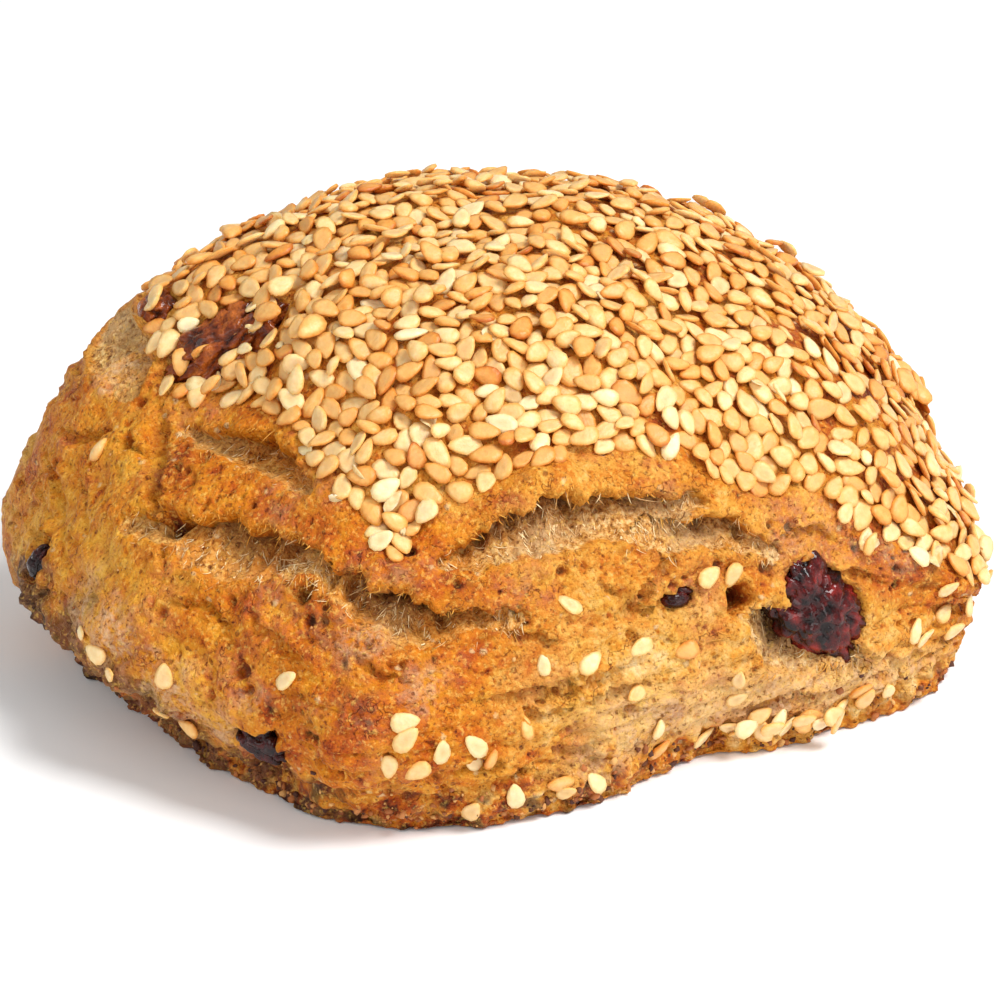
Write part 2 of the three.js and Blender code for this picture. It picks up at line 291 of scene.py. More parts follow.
def rough(points, size, key=0, octaves=3, keep=0.55):
    """Relief with finer relief on it."""
    return sum(keep**o * relief(points, size / 2**o, key + 11 * o) for o in range(octaves))


DOUGH_COLUMNS = 160
DOUGH_ROWS = 38
DOUGH_SPLITS = 2
COLUMN_SPREAD = (0.0, 0.25, 0.93, 1.0)  # shares of the columns round to the ends of these turns
TURN_SPREAD = (0.0, 150.0, 320.0, 360.0)
ROW_SPREAD = (0.0, 0.14, 0.85, 0.97, 1.0)  # shares of the rows down to these stretches' ends
SHARE_SPREAD = (0.0, 0.265, 0.62, 0.80, 1.0)


def put_in_order(piece):
    """Puts a new shape's points and faces in an order that is the same on every run."""
    mesh = piece.data
    places = np.round([tuple(vertex.co) for vertex in mesh.vertices], 6) + 0.0
    order = np.lexsort(places.T)
    rank = np.argsort(order)
    faces = []
    for face in mesh.polygons:
        corners = [int(rank[corner]) for corner in face.vertices]
        first = corners.index(min(corners))
        faces.append(tuple(corners[first:] + corners[:first]))
    mesh.clear_geometry()
    mesh.from_pydata([tuple(place) for place in places[order]], [], sorted(faces))
    mesh.update(calc_edges=True)


def split_faces(piece, kind, levels):
    """Splits every face of a piece in four, levels times."""
    splits = piece.modifiers.new("splits", "SUBSURF")
    splits.subdivision_type = kind
    splits.levels = splits.render_levels = levels
    bpy.ops.object.modifier_apply(modifier="splits")


def ball_directions(piece):
    """The directions of a ball's points from its middle."""
    places = np.empty(len(piece.data.vertices) * 3)
    piece.data.vertices.foreach_get("co", places)
    return unit(places.reshape(-1, 3))


def move_points(piece, points):
    """Moves a piece's points to their places, given in mm."""
    piece.data.vertices.foreach_set("co", (points * MM).ravel())
    piece.data.update()
    piece.data.shade_smooth()


bpy.ops.mesh.primitive_uv_sphere_add(segments=DOUGH_COLUMNS, ring_count=DOUGH_ROWS, radius=1.0)
crust = bpy.context.object
crust.name = "torn_crust"
put_in_order(crust)
split_faces(crust, "SIMPLE", DOUGH_SPLITS)
ball = ball_directions(crust)
columns = np.arctan2(ball[:, 1], ball[:, 0]) / (2.0 * math.pi) % 1.0
turns = np.interp(columns, COLUMN_SPREAD, TURN_SPREAD)
rows = np.arccos(np.clip(ball[:, 2], -1.0, 1.0)) / math.pi
shares = np.interp(rows, ROW_SPREAD, SHARE_SPREAD)
downs = (shares - RIM_SHARE) / (FOOT_SHARE - RIM_SHARE)
smooth_crust, outward, downhill = crust_frames(turns, shares)
poles = np.abs(ball[:, 2]) > 0.99999
outward[poles] = np.sign(ball[poles, 2])[:, None] * (0.0, 0.0, 1.0)
downhill[poles] = (1.0, 0.0, 0.0)

# Tears: places along each as turn and down, opening and depth in mm, and how far the torn crumb
# runs up under the upper lip
TEARS = (
    (((171, 0.12), (186, 0.07), (196, 0.02), (208, -0.02)), 4.4, 3.2, 1.2),
    (((176, 0.36), (190, 0.31), (198, 0.27), (206, 0.20), (215, 0.13)), 6.6, 3.8, 1.8),
    (((209, 0.13), (217, 0.19), (224, 0.28), (231, 0.35), (243, 0.39)), 4.8, 4.4, 1.6),
    (((229, 0.12), (239, 0.115), (249, 0.135), (260, 0.175), (278, 0.21)), 5.6, 4.4, 2.0),
    (((259, 0.24), (274, 0.29), (289, 0.25)), 3.6, 3.0, 1.2),
    (((280, 0.52), (285, 0.55), (290, 0.60), (299, 0.66)), 5.4, 5.2, 2.2),
    (((139, -0.10), (150, -0.02), (161, 0.08)), 7.0, 1.8, 0.4),
    (((163, 0.0), (167, 0.12), (173, 0.20), (179, 0.26), (185, 0.31)), 2.8, 1.5, 0.2),
    (((256, 0.45), (264, 0.47), (273, 0.45)), 1.6, 1.6, 0.3),
    (((231, 0.57), (246, 0.61), (262, 0.58)), 1.8, 0.8, 0.2),
    (((64, 0.23), (80, 0.16), (94, 0.18), (110, 0.26)), 5.4, 3.8, 1.6),
    (((102, 0.42), (117, 0.38), (133, 0.31)), 4.0, 3.2, 1.2),
    (((-10, 0.53), (6, 0.47), (20, 0.43), (35, 0.45)), 4.6, 3.4, 1.4),
)
TEAR_STEPS = 260
# and small cracks, scattered by chance and mostly level
CRACK_COUNT = 90
random_cracks = np.random.default_rng(33)
for _ in range(CRACK_COUNT):
    turn, down = random_cracks.uniform(0.0, 360.0), random_cracks.uniform(0.06, 0.9)
    reach, fall = random_cracks.uniform(2.0, 6.5), random_cracks.normal(0.0, 0.035)
    bend = random_cracks.normal(0.0, 0.02)
    path = ((turn - reach, down - fall), (turn, down + bend), (turn + reach, down + fall))
    opening = random_cracks.uniform(0.8, 2.0)
    TEARS += ((path, opening, random_cracks.uniform(0.45, 0.8) * opening, 0.25 * opening),)


def tear_route(path):
    """Points along the middle of a tear, with outward and downhill directions and lengths."""
    knots = np.array(path, float).T
    way = np.linspace(0.0, 1.0, TEAR_STEPS)
    route_turns = along_line(np.broadcast_to(knots[0], (TEAR_STEPS, len(path))), way)
    route_downs = along_line(np.broadcast_to(knots[1], (TEAR_STEPS, len(path))), way)
    points, normals, _ = crust_frames(route_turns, down_share(route_downs))
    tangents = unit(np.gradient(points, axis=0))
    across = unit(np.cross(tangents, normals))
    across *= np.where(across[:, 2:] > 0.0, -1.0, 1.0)
    lengths = np.concatenate(([0.0], np.cumsum(np.linalg.norm(np.diff(points, axis=0), axis=1))))
    return points, normals, across, lengths, route_turns


def tear_edges(way, length, opening, key):
    """The upper and lower lips' distance from a tear's middle, in mm, at shares of its length."""
    half = 0.5 * opening * np.sin(math.pi * np.clip(way, 0.0, 1.0)) ** 0.7
    line = np.stack(np.broadcast_arrays(length, 3.1 * key, 0.0), -1)
    upper = -half * (1.0 + 0.35 * rough(line, 8.0, 1)) + np.minimum(half, 0.8) * rough(line, 2.0, 2)
    lower = half * (1.0 + 0.35 * rough(line, 8.0, 3)) + np.minimum(half, 0.8) * rough(line, 2.4, 4)
    return upper, lower


def degrees_from(turn):
    """How far round each point of the crust is from a turn."""
    return np.abs((turns - turn + 180.0) % 360.0 - 180.0)


inward = np.zeros(len(ball))
upward = np.zeros(len(ball))
crumb = np.zeros(len(ball))
hollow_shade = np.zeros(len(ball))
frayed = np.zeros(len(ball))
for key, (path, opening, depth, undercut) in enumerate(TEARS):
    middle, _, across, lengths, route_turns = tear_route(path)
    centre_turn = 0.5 * (route_turns[0] + route_turns[-1])
    swing = 0.5 * abs(route_turns[-1] - route_turns[0]) + 8.0
    apart = degrees_from(centre_turn)
    near = np.flatnonzero((apart < swing) & (shares > 0.15) & (shares < 0.66))
    gaps = smooth_crust[near][:, None, :] - middle[None, ::4, :]
    closest = 4 * np.argmin(np.einsum("abc,abc->ab", gaps, gaps), axis=1)
    window = np.clip(closest[:, None] + np.arange(-3, 4)[None, :], 0, TEAR_STEPS - 1)
    gaps = smooth_crust[near][:, None, :] - middle[window]
    pick = np.argmin(np.einsum("abc,abc->ab", gaps, gaps), axis=1)
    closest = window[np.arange(len(near)), pick]
    offset = smooth_crust[near] - middle[closest]
    away_from = np.einsum("ab,ab->a", offset, across[closest])
    beyond = np.linalg.norm(offset - away_from[:, None] * across[closest], axis=1)
    inside = (np.abs(away_from) < opening + 5.0) & (beyond < 3.5)
    near, closest, away_from = near[inside], closest[inside], away_from[inside]
    way = closest / (TEAR_STEPS - 1.0)
    length = lengths[closest]
    upper, lower = tear_edges(way, length, opening, key)
    width = np.maximum(lower - upper, 1e-3)
    place = (away_from - upper) / width
    taper = np.sin(math.pi * way) ** 0.75
    line = np.stack(np.broadcast_arrays(length, 5.7 * key, 0.0), -1)
    deep = depth * taper * (1.0 + 0.45 * rough(line, 5.0, 5))
    sunk = eased(place, -0.02, 0.17) * (1.0 - np.clip((place - 0.16) / 0.88, 0.0, 1.0)) ** 0.9
    strands = np.stack(np.broadcast_arrays(length / 0.75, away_from / 2.6, 1.7 * key), -1)
    fleece = 0.55 * relief(strands, 1.3, 6) + 0.42 * relief(strands, 0.55, 7)
    lumps = np.stack(np.broadcast_arrays(length, away_from, 2.3 * key), -1)
    fleece += 0.9 * np.maximum(relief(lumps, 2.4, 13) - 0.1, 0.0)
    open_part = within(place, 0.05, 0.25, 0.85, 1.02)
    open_part *= eased(width, 0.5, 1.6)
    upper_gap = np.where(place < 0.0, -place * width, 0.0)
    lower_gap = np.where(place > 1.0, (place - 1.0) * width, 0.0)
    lip = bell(upper_gap, 0.0, 1.3) * (place < 0.02)
    low_lip = bell(lower_gap, 0.0, 1.6) * (place > 1.0)
    band = bell(upper_gap, 2.2, 2.0) * (place < 0.02)
    push = deep * sunk + fleece * open_part
    push -= taper * (0.35 * lip + 0.35 * low_lip + 0.16 * depth * band)
    inward[near] = np.where(np.abs(push) > np.abs(inward[near]), push, inward[near])
    lift = undercut * taper * eased(place, 0.02, 0.17) * (1.0 - eased(place, 0.2, 0.7))
    upward[near] = np.maximum(upward[near], lift)
    showing = 1.0 if depth > 1.7 else 0.3
    crumb[near] = np.maximum(crumb[near], open_part * showing)
    # painted shade in the tear, deepest under the upper lip
    hollow_shade[near] = np.maximum(hollow_shade[near], sunk * taper * min(1.0, depth / 5.2))
    fringe = bell(upper_gap, 0.0, 0.8) * (place < 0.1) * taper
    fringe += 0.7 * bell(lower_gap, 0.0, 1.0) * (place > 0.9) * taper
    frayed[near] = np.maximum(frayed[near], fringe * showing)

# the rest of the crust: blisters and wrinkles everywhere, calmer under the seeds and on the foot
SEED_EDGE_TURNS = (0, 20, 45, 75, 100, 125, 145, 154, 164, 177, 200, 215, 224, 230, 251, 267)
SEED_EDGE_TURNS += (277, 294, 303, 314, 330, 345, 360)
SEED_EDGE_DOWNS = (0.42, 0.36, 0.16, 0.02, -0.02, -0.08, -0.22, -0.08, 0.04, 0.01, -0.09, -0.06)
SEED_EDGE_DOWNS += (0.04, -0.06, -0.06, -0.01, 0.06, -0.04, -0.01, 0.05, 0.22, 0.38, 0.42)
SEED_BED = 0.6  # how much lower the crust lies under the seeds
seed_edge = np.interp(turns, SEED_EDGE_TURNS, SEED_EDGE_DOWNS)
under_seeds = 1.0 - eased(downs - seed_edge, -0.06, 0.03)
on_side = (1.0 - under_seeds) * (1.0 - eased(shares, 0.6, 0.66))
stand = eased(smooth_crust[:, 2], 0.0, 3.0)
wrinkles = 0.6 * relief(smooth_crust, 9.0, 1) + 0.40 * rough(smooth_crust, 3.6, 2, 4, 0.55)
swirl = smooth_crust * (0.16, 0.16, 0.30) + 0.3 * relief(smooth_crust, 5.0, 26)[:, None]
ridges = np.clip(1.0 - 3.0 * np.abs(relief(swirl, 1.0, 27)), 0.0, 1.0) ** 2
wrinkles += 0.45 * ridges * eased(relief(smooth_crust, 11.0, 28), -0.2, 0.4)
flattened = smooth_crust * (0.10, 0.10, 0.45) + 0.25 * relief(smooth_crust, 6.0, 3)[:, None]
folds = np.clip(1.0 - 6.0 * np.abs(relief(flattened, 1.0, 4)), 0.0, 1.0)
wrinkles -= 0.45 * folds * eased(downs, 0.1, 0.4)
uneven_downs = downs + 0.10 * rough(smooth_crust, 6.0, 25, 3)
# round from +X, where the gritty band along the foot starts: higher where the side hangs over it
GRIT_TURNS = (0, 148, 158, 182, 188, 194, 202, 360)
GRIT_STARTS = (0.84, 0.84, 0.56, 0.55, 0.59, 0.70, 0.82, 0.84)
grit_start = np.interp(turns, GRIT_TURNS, GRIT_STARTS)
gritty = eased(uneven_downs, grit_start, grit_start + 0.14) * (1.0 - eased(shares, 0.74, 0.79))
blisters = np.maximum(relief(smooth_crust, 2.4, 8) - 0.35, 0.0) * 0.9
skin = on_side * (wrinkles + blisters) + under_seeds * 0.25 * relief(smooth_crust, 4.0, 9)
inward -= skin * stand * (1.0 - 0.6 * crumb)
inward += SEED_BED * under_seeds
inward -= 0.55 * gritty * rough(smooth_crust, 1.7, 5, 3)
inward -= 0.9 * gritty * rough(smooth_crust * (1.0, 1.0, 0.5), 3.4, 15, 3)

# pits where bubbles broke through, scattered by chance but for the large ones
random_pits = np.random.default_rng(11)
PIT_COUNT = 900
pit_turns = random_pits.uniform(0.0, 360.0, PIT_COUNT)
pit_downs = random_pits.uniform(0.02, 0.97, PIT_COUNT)
pit_sizes = 0.26 + 0.6 * random_pits.uniform(0.0, 1.0, PIT_COUNT) ** 4
# turn, down, size and depth in mm
LARGE_PITS = (
    (279.3, 0.475, 1.9, 4.4), (204.0, 0.54, 1.3, 1.6), (162.0, 0.50, 0.9, 1.2),
    (212.8, 0.34, 0.8, 1.3), (182.0, 0.14, 1.0, 1.2), (176.0, 0.15, 0.7, 1.0),
    (162.0, 0.09, 0.9, 1.1), (165.2, 0.19, 0.9, 1.2), (184.8, 0.30, 1.9, 3.2),
    (200.2, 0.39, 0.6, 0.9), (210.8, 0.27, 1.2, 1.6), (218.0, 0.43, 0.6, 0.8),
    (197.5, 0.14, 0.6, 0.8), (303.0, 0.70, 0.9, 1.2), (302.5, 0.81, 1.1, 1.4),
    (305.5, 0.87, 0.8, 1.2), (236.0, 0.09, 1.0, 1.2), (277.0, 0.27, 1.3, 1.8),
    (231.0, 0.34, 1.2, 1.8), (217.5, 0.19, 1.3, 1.8), (276.0, 0.40, 0.9, 1.0),
    (246.2, 0.61, 0.5, 0.9), (262.0, 0.43, 0.7, 1.0), (285.0, 0.34, 1.0, 1.2),
    (120.0, 0.55, 1.2, 1.5), (88.0, 0.40, 0.9, 1.2), (48.0, 0.62, 1.1, 1.4),
    (15.0, 0.75, 1.2, 1.4), (340.0, 0.60, 0.9, 1.2),
)
pit_depths = 1.1 * pit_sizes
large_pits = np.array(LARGE_PITS)
pit_turns = np.append(pit_turns, large_pits[:, 0])
pit_downs = np.append(pit_downs, large_pits[:, 1])
pit_sizes = np.append(pit_sizes, large_pits[:, 2])
pit_depths = np.append(pit_depths, large_pits[:, 3])
pit_places = crust_points(pit_turns, down_share(pit_downs))
pitted = np.zeros(len(ball))
for place, size, depth, pit_turn in zip(pit_places, pit_sizes, pit_depths, pit_turns):
    near = np.flatnonzero(degrees_from(pit_turn) < 5.0)
    ragged = 1.0 + 0.35 * relief(smooth_crust[near], 1.1, 12)
    gap = np.linalg.norm(smooth_crust[near] - place, axis=1) / (size * ragged)
    bowl = 1.0 - eased(gap, 0.35, 1.0)
    brim = bell(gap, 1.15, 0.25)
    inward[near] += (depth * bowl - 0.12 * size * brim) * on_side[near]
    pitted[near] = np.maximum(pitted[near], bowl * on_side[near])
    # painted shade in the pit's bowl
    hollow_shade[near] = np.maximum(hollow_shade[near], bowl * on_side[near] * min(1.0, depth / 2.6))

# each dried berry lies in its own pocket: turn, down, half sizes, heading and how deep it sits
BERRIES = (
    ("berry_front", 293.8, 0.455, (8.1, 4.8, 3.3), -50.0, 2.2),
    ("berry_top", 165.5, -0.18, (8.2, 4.0, 3.3), 62.0, 1.6),
    ("berry_rim", 147.0, -0.19, (3.2, 2.2, 2.2), 20.0, 1.2),
    ("berry_left", 205.7, 0.81, (3.5, 2.5, 2.4), -28.0, 1.4),
    ("berry_corner", 161.0, 0.56, (2.4, 1.8, 1.8), 80.0, 0.9),
    ("berry_crack", 269.3, 0.455, (1.9, 1.2, 1.4), 10.0, 1.05),
    ("berry_back", 74.0, 0.5, (5.6, 3.7, 3.2), 30.0, 1.5),
)


def berry_frame(turn, down, heading):
    """A berry's place on the crust, and its long, short and outward directions."""
    point, normal, fall = crust_frames(np.array([turn]), down_share([down]))
    point, normal, fall = point[0], normal[0], fall[0]
    level = unit(np.cross(-fall, normal))
    rising = np.cross(normal, level)
    angle = math.radians(heading)
    along = level * math.cos(angle) + rising * math.sin(angle)
    return point, along, np.cross(normal, along), normal


pocket = np.zeros(len(ball))
for name, turn, down, half, heading, sunk in BERRIES:
    place, along, aside, normal = berry_frame(turn, down, heading)
    offset = smooth_crust - place
    edge = 1.0 - (sunk / half[2]) ** 2
    spare = {"berry_left": 0.5, "berry_corner": 0.5, "berry_front": -0.3}.get(name, 0.0)
    reach_along = offset @ along / (half[0] * math.sqrt(edge) + spare)
    reach_aside = offset @ aside / (half[1] * math.sqrt(edge) + spare)
    gap = np.sqrt(reach_along**2 + reach_aside**2) + 0.10 * relief(smooth_crust, 2.0, 14)
    gap[np.abs(offset @ normal) > 6.0] = 9.0
    well = 1.0 - eased(gap, 0.80, 1.06)
    brim = bell(gap, 1.22, 0.13)
    inward = np.where(well > 0.0, np.maximum(inward, 0.0) * (1.0 - well) + 2.2 * well, inward)
    inward -= 0.3 * brim * (1.0 - crumb)
    pocket = np.maximum(pocket, well)

torn = smooth_crust - outward * inward[:, None] - downhill * (upward * (crumb > 0.0))[:, None]
torn[:, 2] = np.maximum(torn[:, 2], 0.0)
sole = shares > 0.79
torn[sole, 2] = 0.18 * np.maximum(relief(smooth_crust[sole], 5.0, 20), 0.0)
move_points(crust, torn)

# how far each place is baked, 0 floury and pale, 1 burnt, with painted shade in the berries'
# pockets:
# first by the way down the side
BAKE_DOWNS = (-3.0, -0.4, -0.1, 0.06, 0.3, 0.5, 0.80, 0.92, 1.02, 1.35, 1.6)
BAKE_LEVELS = (0.48, 0.48, 0.50, 0.50, 0.50, 0.40, 0.37, 0.46, 0.58, 0.62, 0.80)
bake = np.interp(np.where(downs > 0.7, uneven_downs, downs), BAKE_DOWNS, BAKE_LEVELS)
bake += 0.10 * relief(smooth_crust, 14.0, 21) + 0.07 * relief(smooth_crust, 6.0, 22)
bake += 0.35 * pitted + 0.5 * gritty * rough(smooth_crust, 2.4, 24, 3)
# painted shade in the berries' pockets on the sides
bake += 0.5 * pocket * (1.0 - under_seeds)
# then the paler front and left sides
front = within(turns, 240.0, 262.0, 300.0, 325.0)
left = within(turns, 140.0, 160.0, 178.0, 200.0)
above_tear = bell(turns, 262.0, 16.0) * bell(downs, 0.04, 0.09)
far_foot = within(turns, 272.0, 282.0, 322.0, 340.0) * eased(downs, 0.85, 0.95)
bake -= 0.15 * front * within(downs, 0.4, 0.55, 0.88, 0.98)
bake -= 0.10 * left * (1.0 - eased(downs, 0.6, 0.9))
bake -= 0.10 * above_tear + 0.26 * far_foot
# and the places that the oven browned: the near corner and its foot, the left side's upper edge,
# the right-hand corner and, burnt and partly painted shade of a berry's pit, the left corner's foot
near_corner = bell(turns, 221.0, 13.0) * within(downs, 0.1, 0.3, 0.8, 0.9)
near_foot = bell(turns, 212.0, 10.0) * eased(downs, 0.8, 1.0)
upper_band = bell(turns, 200.0, 22.0) * bell(downs, 0.13, 0.12)
right_corner = within(turns, 296.0, 306.0, 335.0, 350.0)
# burnt round the small berry in the left corner, and there partly painted shade of its dark pit
burnt_corner = bell(turns, 159.0, 7.5) * eased(uneven_downs, 0.53, 0.63)
burnt_corner = np.clip(1.8 * burnt_corner, 0.0, 1.0)
bake += 0.20 * near_corner + 0.30 * near_foot + 0.12 * upper_band
bake += 0.17 * right_corner + 0.20 * burnt_corner
left_foot = within(turns, 150.0, 160.0, 196.0, 210.0)
foot_patches = rough(smooth_crust * (1.0, 1.0, 2.0), 4.0, 18) + 0.45 * left_foot
burnt_foot = gritty * eased(foot_patches, -0.1, 0.45)
burnt = burnt_corner * eased(rough(smooth_crust, 3.0, 17), -1.1, -0.2)
burnt = np.maximum(burnt, 0.75 * burnt_foot * (1.0 - 0.7 * front))
# the left side and the right-hand corner are painted a deeper amber, and flour stuck on the front
amber = within(turns, 138.0, 160.0, 228.0, 246.0) * on_side
amber *= 1.0 - 0.8 * np.maximum(burnt, 0.7 * gritty)
amber += 0.5 * on_side * within(turns, 300.0, 318.0, 350.0, 359.0)
flour = front * within(downs, 0.62, 0.75, 0.9, 0.98)
flour = np.clip(flour + 0.5 * relief(smooth_crust, 7.0, 23), 0.0, 1.0) * on_side

# turn, down, radius in mm and strength of the places that baked red, then of those left pale
RED_STAINS = (
    (177.0, 0.21, 3.4, 1.0), (224.8, 0.21, 2.6, 0.9), (241.8, 0.07, 2.6, 0.9),
    (266.8, 0.76, 1.8, 0.9), (217.5, 0.17, 2.6, 0.7), (188.2, 0.58, 2.4, 0.9),
    (216.5, 0.36, 3.2, 0.6), (187.0, 0.61, 2.2, 0.8), (98.0, 0.40, 3.0, 0.8),
    (30.0, 0.62, 3.0, 0.7),
)
PALE_STAINS = (
    (151.8, 0.01, 4.0, 1.0), (176.0, 0.57, 4.0, 0.9), (184.0, 0.58, 4.4, 1.0),
    (193.0, 0.67, 4.6, 1.0), (201.0, 0.78, 4.0, 0.9), (220.3, 0.37, 3.0, 0.8),
    (228.3, 0.52, 3.2, 0.7), (206.0, 0.60, 2.4, 0.6), (289.5, 0.78, 4.2, 0.8),
    (306.3, 0.02, 2.6, 0.6), (252.0, 0.92, 4.5, 0.7), (120.0, 0.75, 6.0, 0.8),
    (60.0, 0.70, 6.0, 0.8), (350.0, 0.66, 5.0, 0.7),
)


def stained(stains):
    """How strongly each point of the crust is stained."""
    total = np.zeros(len(ball))
    for turn, down, radius, strength in stains:
        gap = np.linalg.norm(smooth_crust - crust_points(turn, down_share(down)), axis=1)
        gap = gap / radius + 0.45 * rough(smooth_crust, 3.0, 16)
        total = np.maximum(total, strength * (1.0 - eased(gap, 0.35, 1.25)))
    return total * on_side


def paint(piece, name, values):
    """A value for each point of a piece, which its finish reads by name."""
    layer = piece.data.attributes.new(name, "FLOAT", "POINT")
    layer.data.foreach_set("value", np.ascontiguousarray(values, dtype=np.float32))


paint(crust, "bake", bake)
paint(crust, "crumb", crumb * (1.0 - pocket))
# painted shade in the tears, the pits and the berries' pockets
paint(crust, "hollow_shade", np.maximum(hollow_shade, pocket))
paint(crust, "flour", np.maximum(flour, stained(PALE_STAINS)))
paint(crust, "frayed", frayed)
paint(crust, "amber", amber)
paint(crust, "reddened", np.maximum(stained(RED_STAINS), 0.45 * left_foot * gritty))
paint(crust, "burnt", burnt)


def painted(tree, name):
    return add_node(tree, "ShaderNodeAttribute", attribute_name=name).outputs["Fac"]


def maths(tree, operation, first, second=0.0):
    node = add_node(tree, "ShaderNodeMath", {0: first, 1: second}, operation=operation)
    return node.outputs["Value"]


def product(tree, first, second):
    return maths(tree, "MULTIPLY", first, second)


def summed(tree, *parts):
    """The sum of values, each given with its share."""
    total = product(tree, *parts[0])
    for part in parts[1:]:
        total = maths(tree, "ADD", total, product(tree, *part))
    return total


def grain(tree, size, detail=4.0, roughness=0.6):
    """Noise with patches about size metres across, from 0 to 1."""
    where = add_node(tree, "ShaderNodeTexCoord").outputs["Object"]
    inputs = {"Vector": where, "Scale": 1.0 / size, "Detail": detail, "Roughness": roughness}
    return add_node(tree, "ShaderNodeTexNoise", inputs).outputs["Fac"]


def ramp(tree, fac, stops):
    """Colours by value, each stop a value and a seen colour."""
    node = add_node(tree, "ShaderNodeValToRGB", {"Fac": fac})
    elements = node.color_ramp.elements
    while len(elements) < len(stops):
        elements.new(1.0)
    for element, (value, colour) in zip(elements, stops):
        element.position = value
        element.color = seen(*colour)
    return node.outputs["Color"]


def blend(tree, fac, first, second, mode="MIX"):
    node = add_node(tree, "ShaderNodeMix", {"Factor": fac}, data_type="RGBA", blend_type=mode)
    for key, value in (("A", first), ("B", second)):
        socket = [s for s in node.inputs if s.name == key and s.type == "RGBA"][0]
        if isinstance(value, bpy.types.NodeSocket):
            tree.links.new(value, socket)
        else:
            socket.default_value = value
    return [s for s in node.outputs if s.type == "RGBA"][0]


def tinted(tree, colour, mask, hue, strength=1.0, mode="MIX"):
    """The colour with a seen hue mixed or multiplied in where the mask is."""
    return blend(tree, product(tree, mask, strength), colour, seen(*hue), mode)


def between(tree, value, low, high):
    """0 at low and 1 at high, clamped."""
    node = add_node(tree, "ShaderNodeMapRange", {"Value": value, "From Min": low, "From Max": high})
    return node.outputs["Result"]


def specks(tree, apart, noise, share, low, high):
    """Specks about apart metres from one another, with edges made ragged by noise."""
    where = add_node(tree, "ShaderNodeTexCoord").outputs["Object"]
    cells = add_node(tree, "ShaderNodeTexVoronoi", {"Vector": where, "Scale": 1.0 / apart})
    edge = summed(tree, (cells.outputs["Distance"], 1.0), (noise, share))
    return maths(tree, "SUBTRACT", 1.0, between(tree, edge, low, high))


def bumps(tree, height, strength, distance):
    """Relief up to distance metres deep, for a shader's normal."""
    inputs = {"Height": height, "Strength": strength, "Distance": distance}
    return add_node(tree, "ShaderNodeBump", inputs).outputs["Normal"]


crust_finish, tree, shader = new_finish("baked_crust")
patches = grain(tree, 0.0050, 5.0, 0.65)
mottle = grain(tree, 0.0014, 5.0, 0.7)
speckle = grain(tree, 0.00045, 3.0, 0.6)
bake_now = summed(tree, (painted(tree, "bake"), 1.0), (patches, 0.95), (mottle, 1.1), (1.0, -1.01))
CRUST_STOPS = (
    (0.00, (242, 212, 160)), (0.20, (236, 188, 112)), (0.38, (224, 158, 64)),
    (0.54, (210, 126, 28)), (0.70, (186, 90, 20)), (0.85, (140, 60, 20)), (1.00, (72, 34, 18)),
)
crust_colour = ramp(tree, bake_now, CRUST_STOPS)
yellowing = between(tree, grain(tree, 0.0042, 4.0), 0.48, 0.62)
crust_colour = tinted(tree, crust_colour, yellowing, (214, 166, 54), 0.3)
blushing = between(tree, grain(tree, 0.0064, 4.0), 0.52, 0.64)
crust_colour = tinted(tree, crust_colour, blushing, (184, 92, 46), 0.38)
reddening = product(tree, painted(tree, "reddened"), between(tree, mottle, 0.30, 0.55))
crust_colour = tinted(tree, crust_colour, reddening, (150, 68, 52), 0.85)
BURNT_STOPS = ((0.36, (40, 22, 16)), (0.5, (96, 60, 42)), (0.66, (150, 108, 78)))
crust_colour = blend(tree, painted(tree, "burnt"), crust_colour, ramp(tree, mottle, BURNT_STOPS))
crust_colour = tinted(tree, crust_colour, painted(tree, "frayed"), (226, 156, 56), 0.7)
amber_now = painted(tree, "amber")
crust_colour = tinted(tree, crust_colour, amber_now, (250, 225, 128), 1.0, "MULTIPLY")
# the torn crumb, golden here and greyish there; its fine grain runs from dark brown, partly painted
# shade between the strands, to pale strands
CRUMB_STOPS = ((0.36, (120, 70, 30)), (0.48, (214, 156, 82)), (0.62, (255, 226, 164)))
crumb_colour = ramp(tree, grain(tree, 0.0006, 5.0, 0.7), CRUMB_STOPS)
golden_part = summed(tree, (amber_now, 0.40), (1.0, 0.35))
golden_crumb = product(tree, between(tree, patches, 0.40, 0.58), golden_part)
crumb_colour = tinted(tree, crumb_colour, golden_crumb, (224, 150, 56))
greyed_crumb = between(tree, grain(tree, 0.0062, 2.0), 0.46, 0.60)
crumb_colour = tinted(tree, crumb_colour, greyed_crumb, (200, 166, 122), 0.6)
crumb_colour = tinted(tree, crumb_colour, amber_now, (255, 238, 196), 1.0, "MULTIPLY")
crumb_edge = summed(tree, (painted(tree, "crumb"), 1.0), (patches, 0.7))
colour = blend(tree, between(tree, crumb_edge, 0.62, 0.98), crust_colour, crumb_colour)
# painted shade in the depths, the flour, painted shade in the pores and hair-thin creases, pale
# flecks and a fine grain over it all
# painted shade, darkest deep in the tears, the pits and the berries' pockets
recess_shade = between(tree, painted(tree, "hollow_shade"), 0.25, 1.0)
colour = tinted(tree, colour, recess_shade, (136, 78, 46), 1.0, "MULTIPLY")
floured = product(tree, painted(tree, "flour"), between(tree, mottle, 0.40, 0.60))
colour = tinted(tree, colour, floured, (226, 192, 152), 0.7)
# painted shade in the pores
pores = specks(tree, 0.0016, mottle, 0.5, 0.33, 0.42)
colour = tinted(tree, colour, pores, (150, 84, 44), 0.65, "MULTIPLY")
flecks = specks(tree, 0.0029, speckle, 0.35, 0.24, 0.32)
colour = tinted(tree, colour, flecks, (238, 208, 160), 0.7)
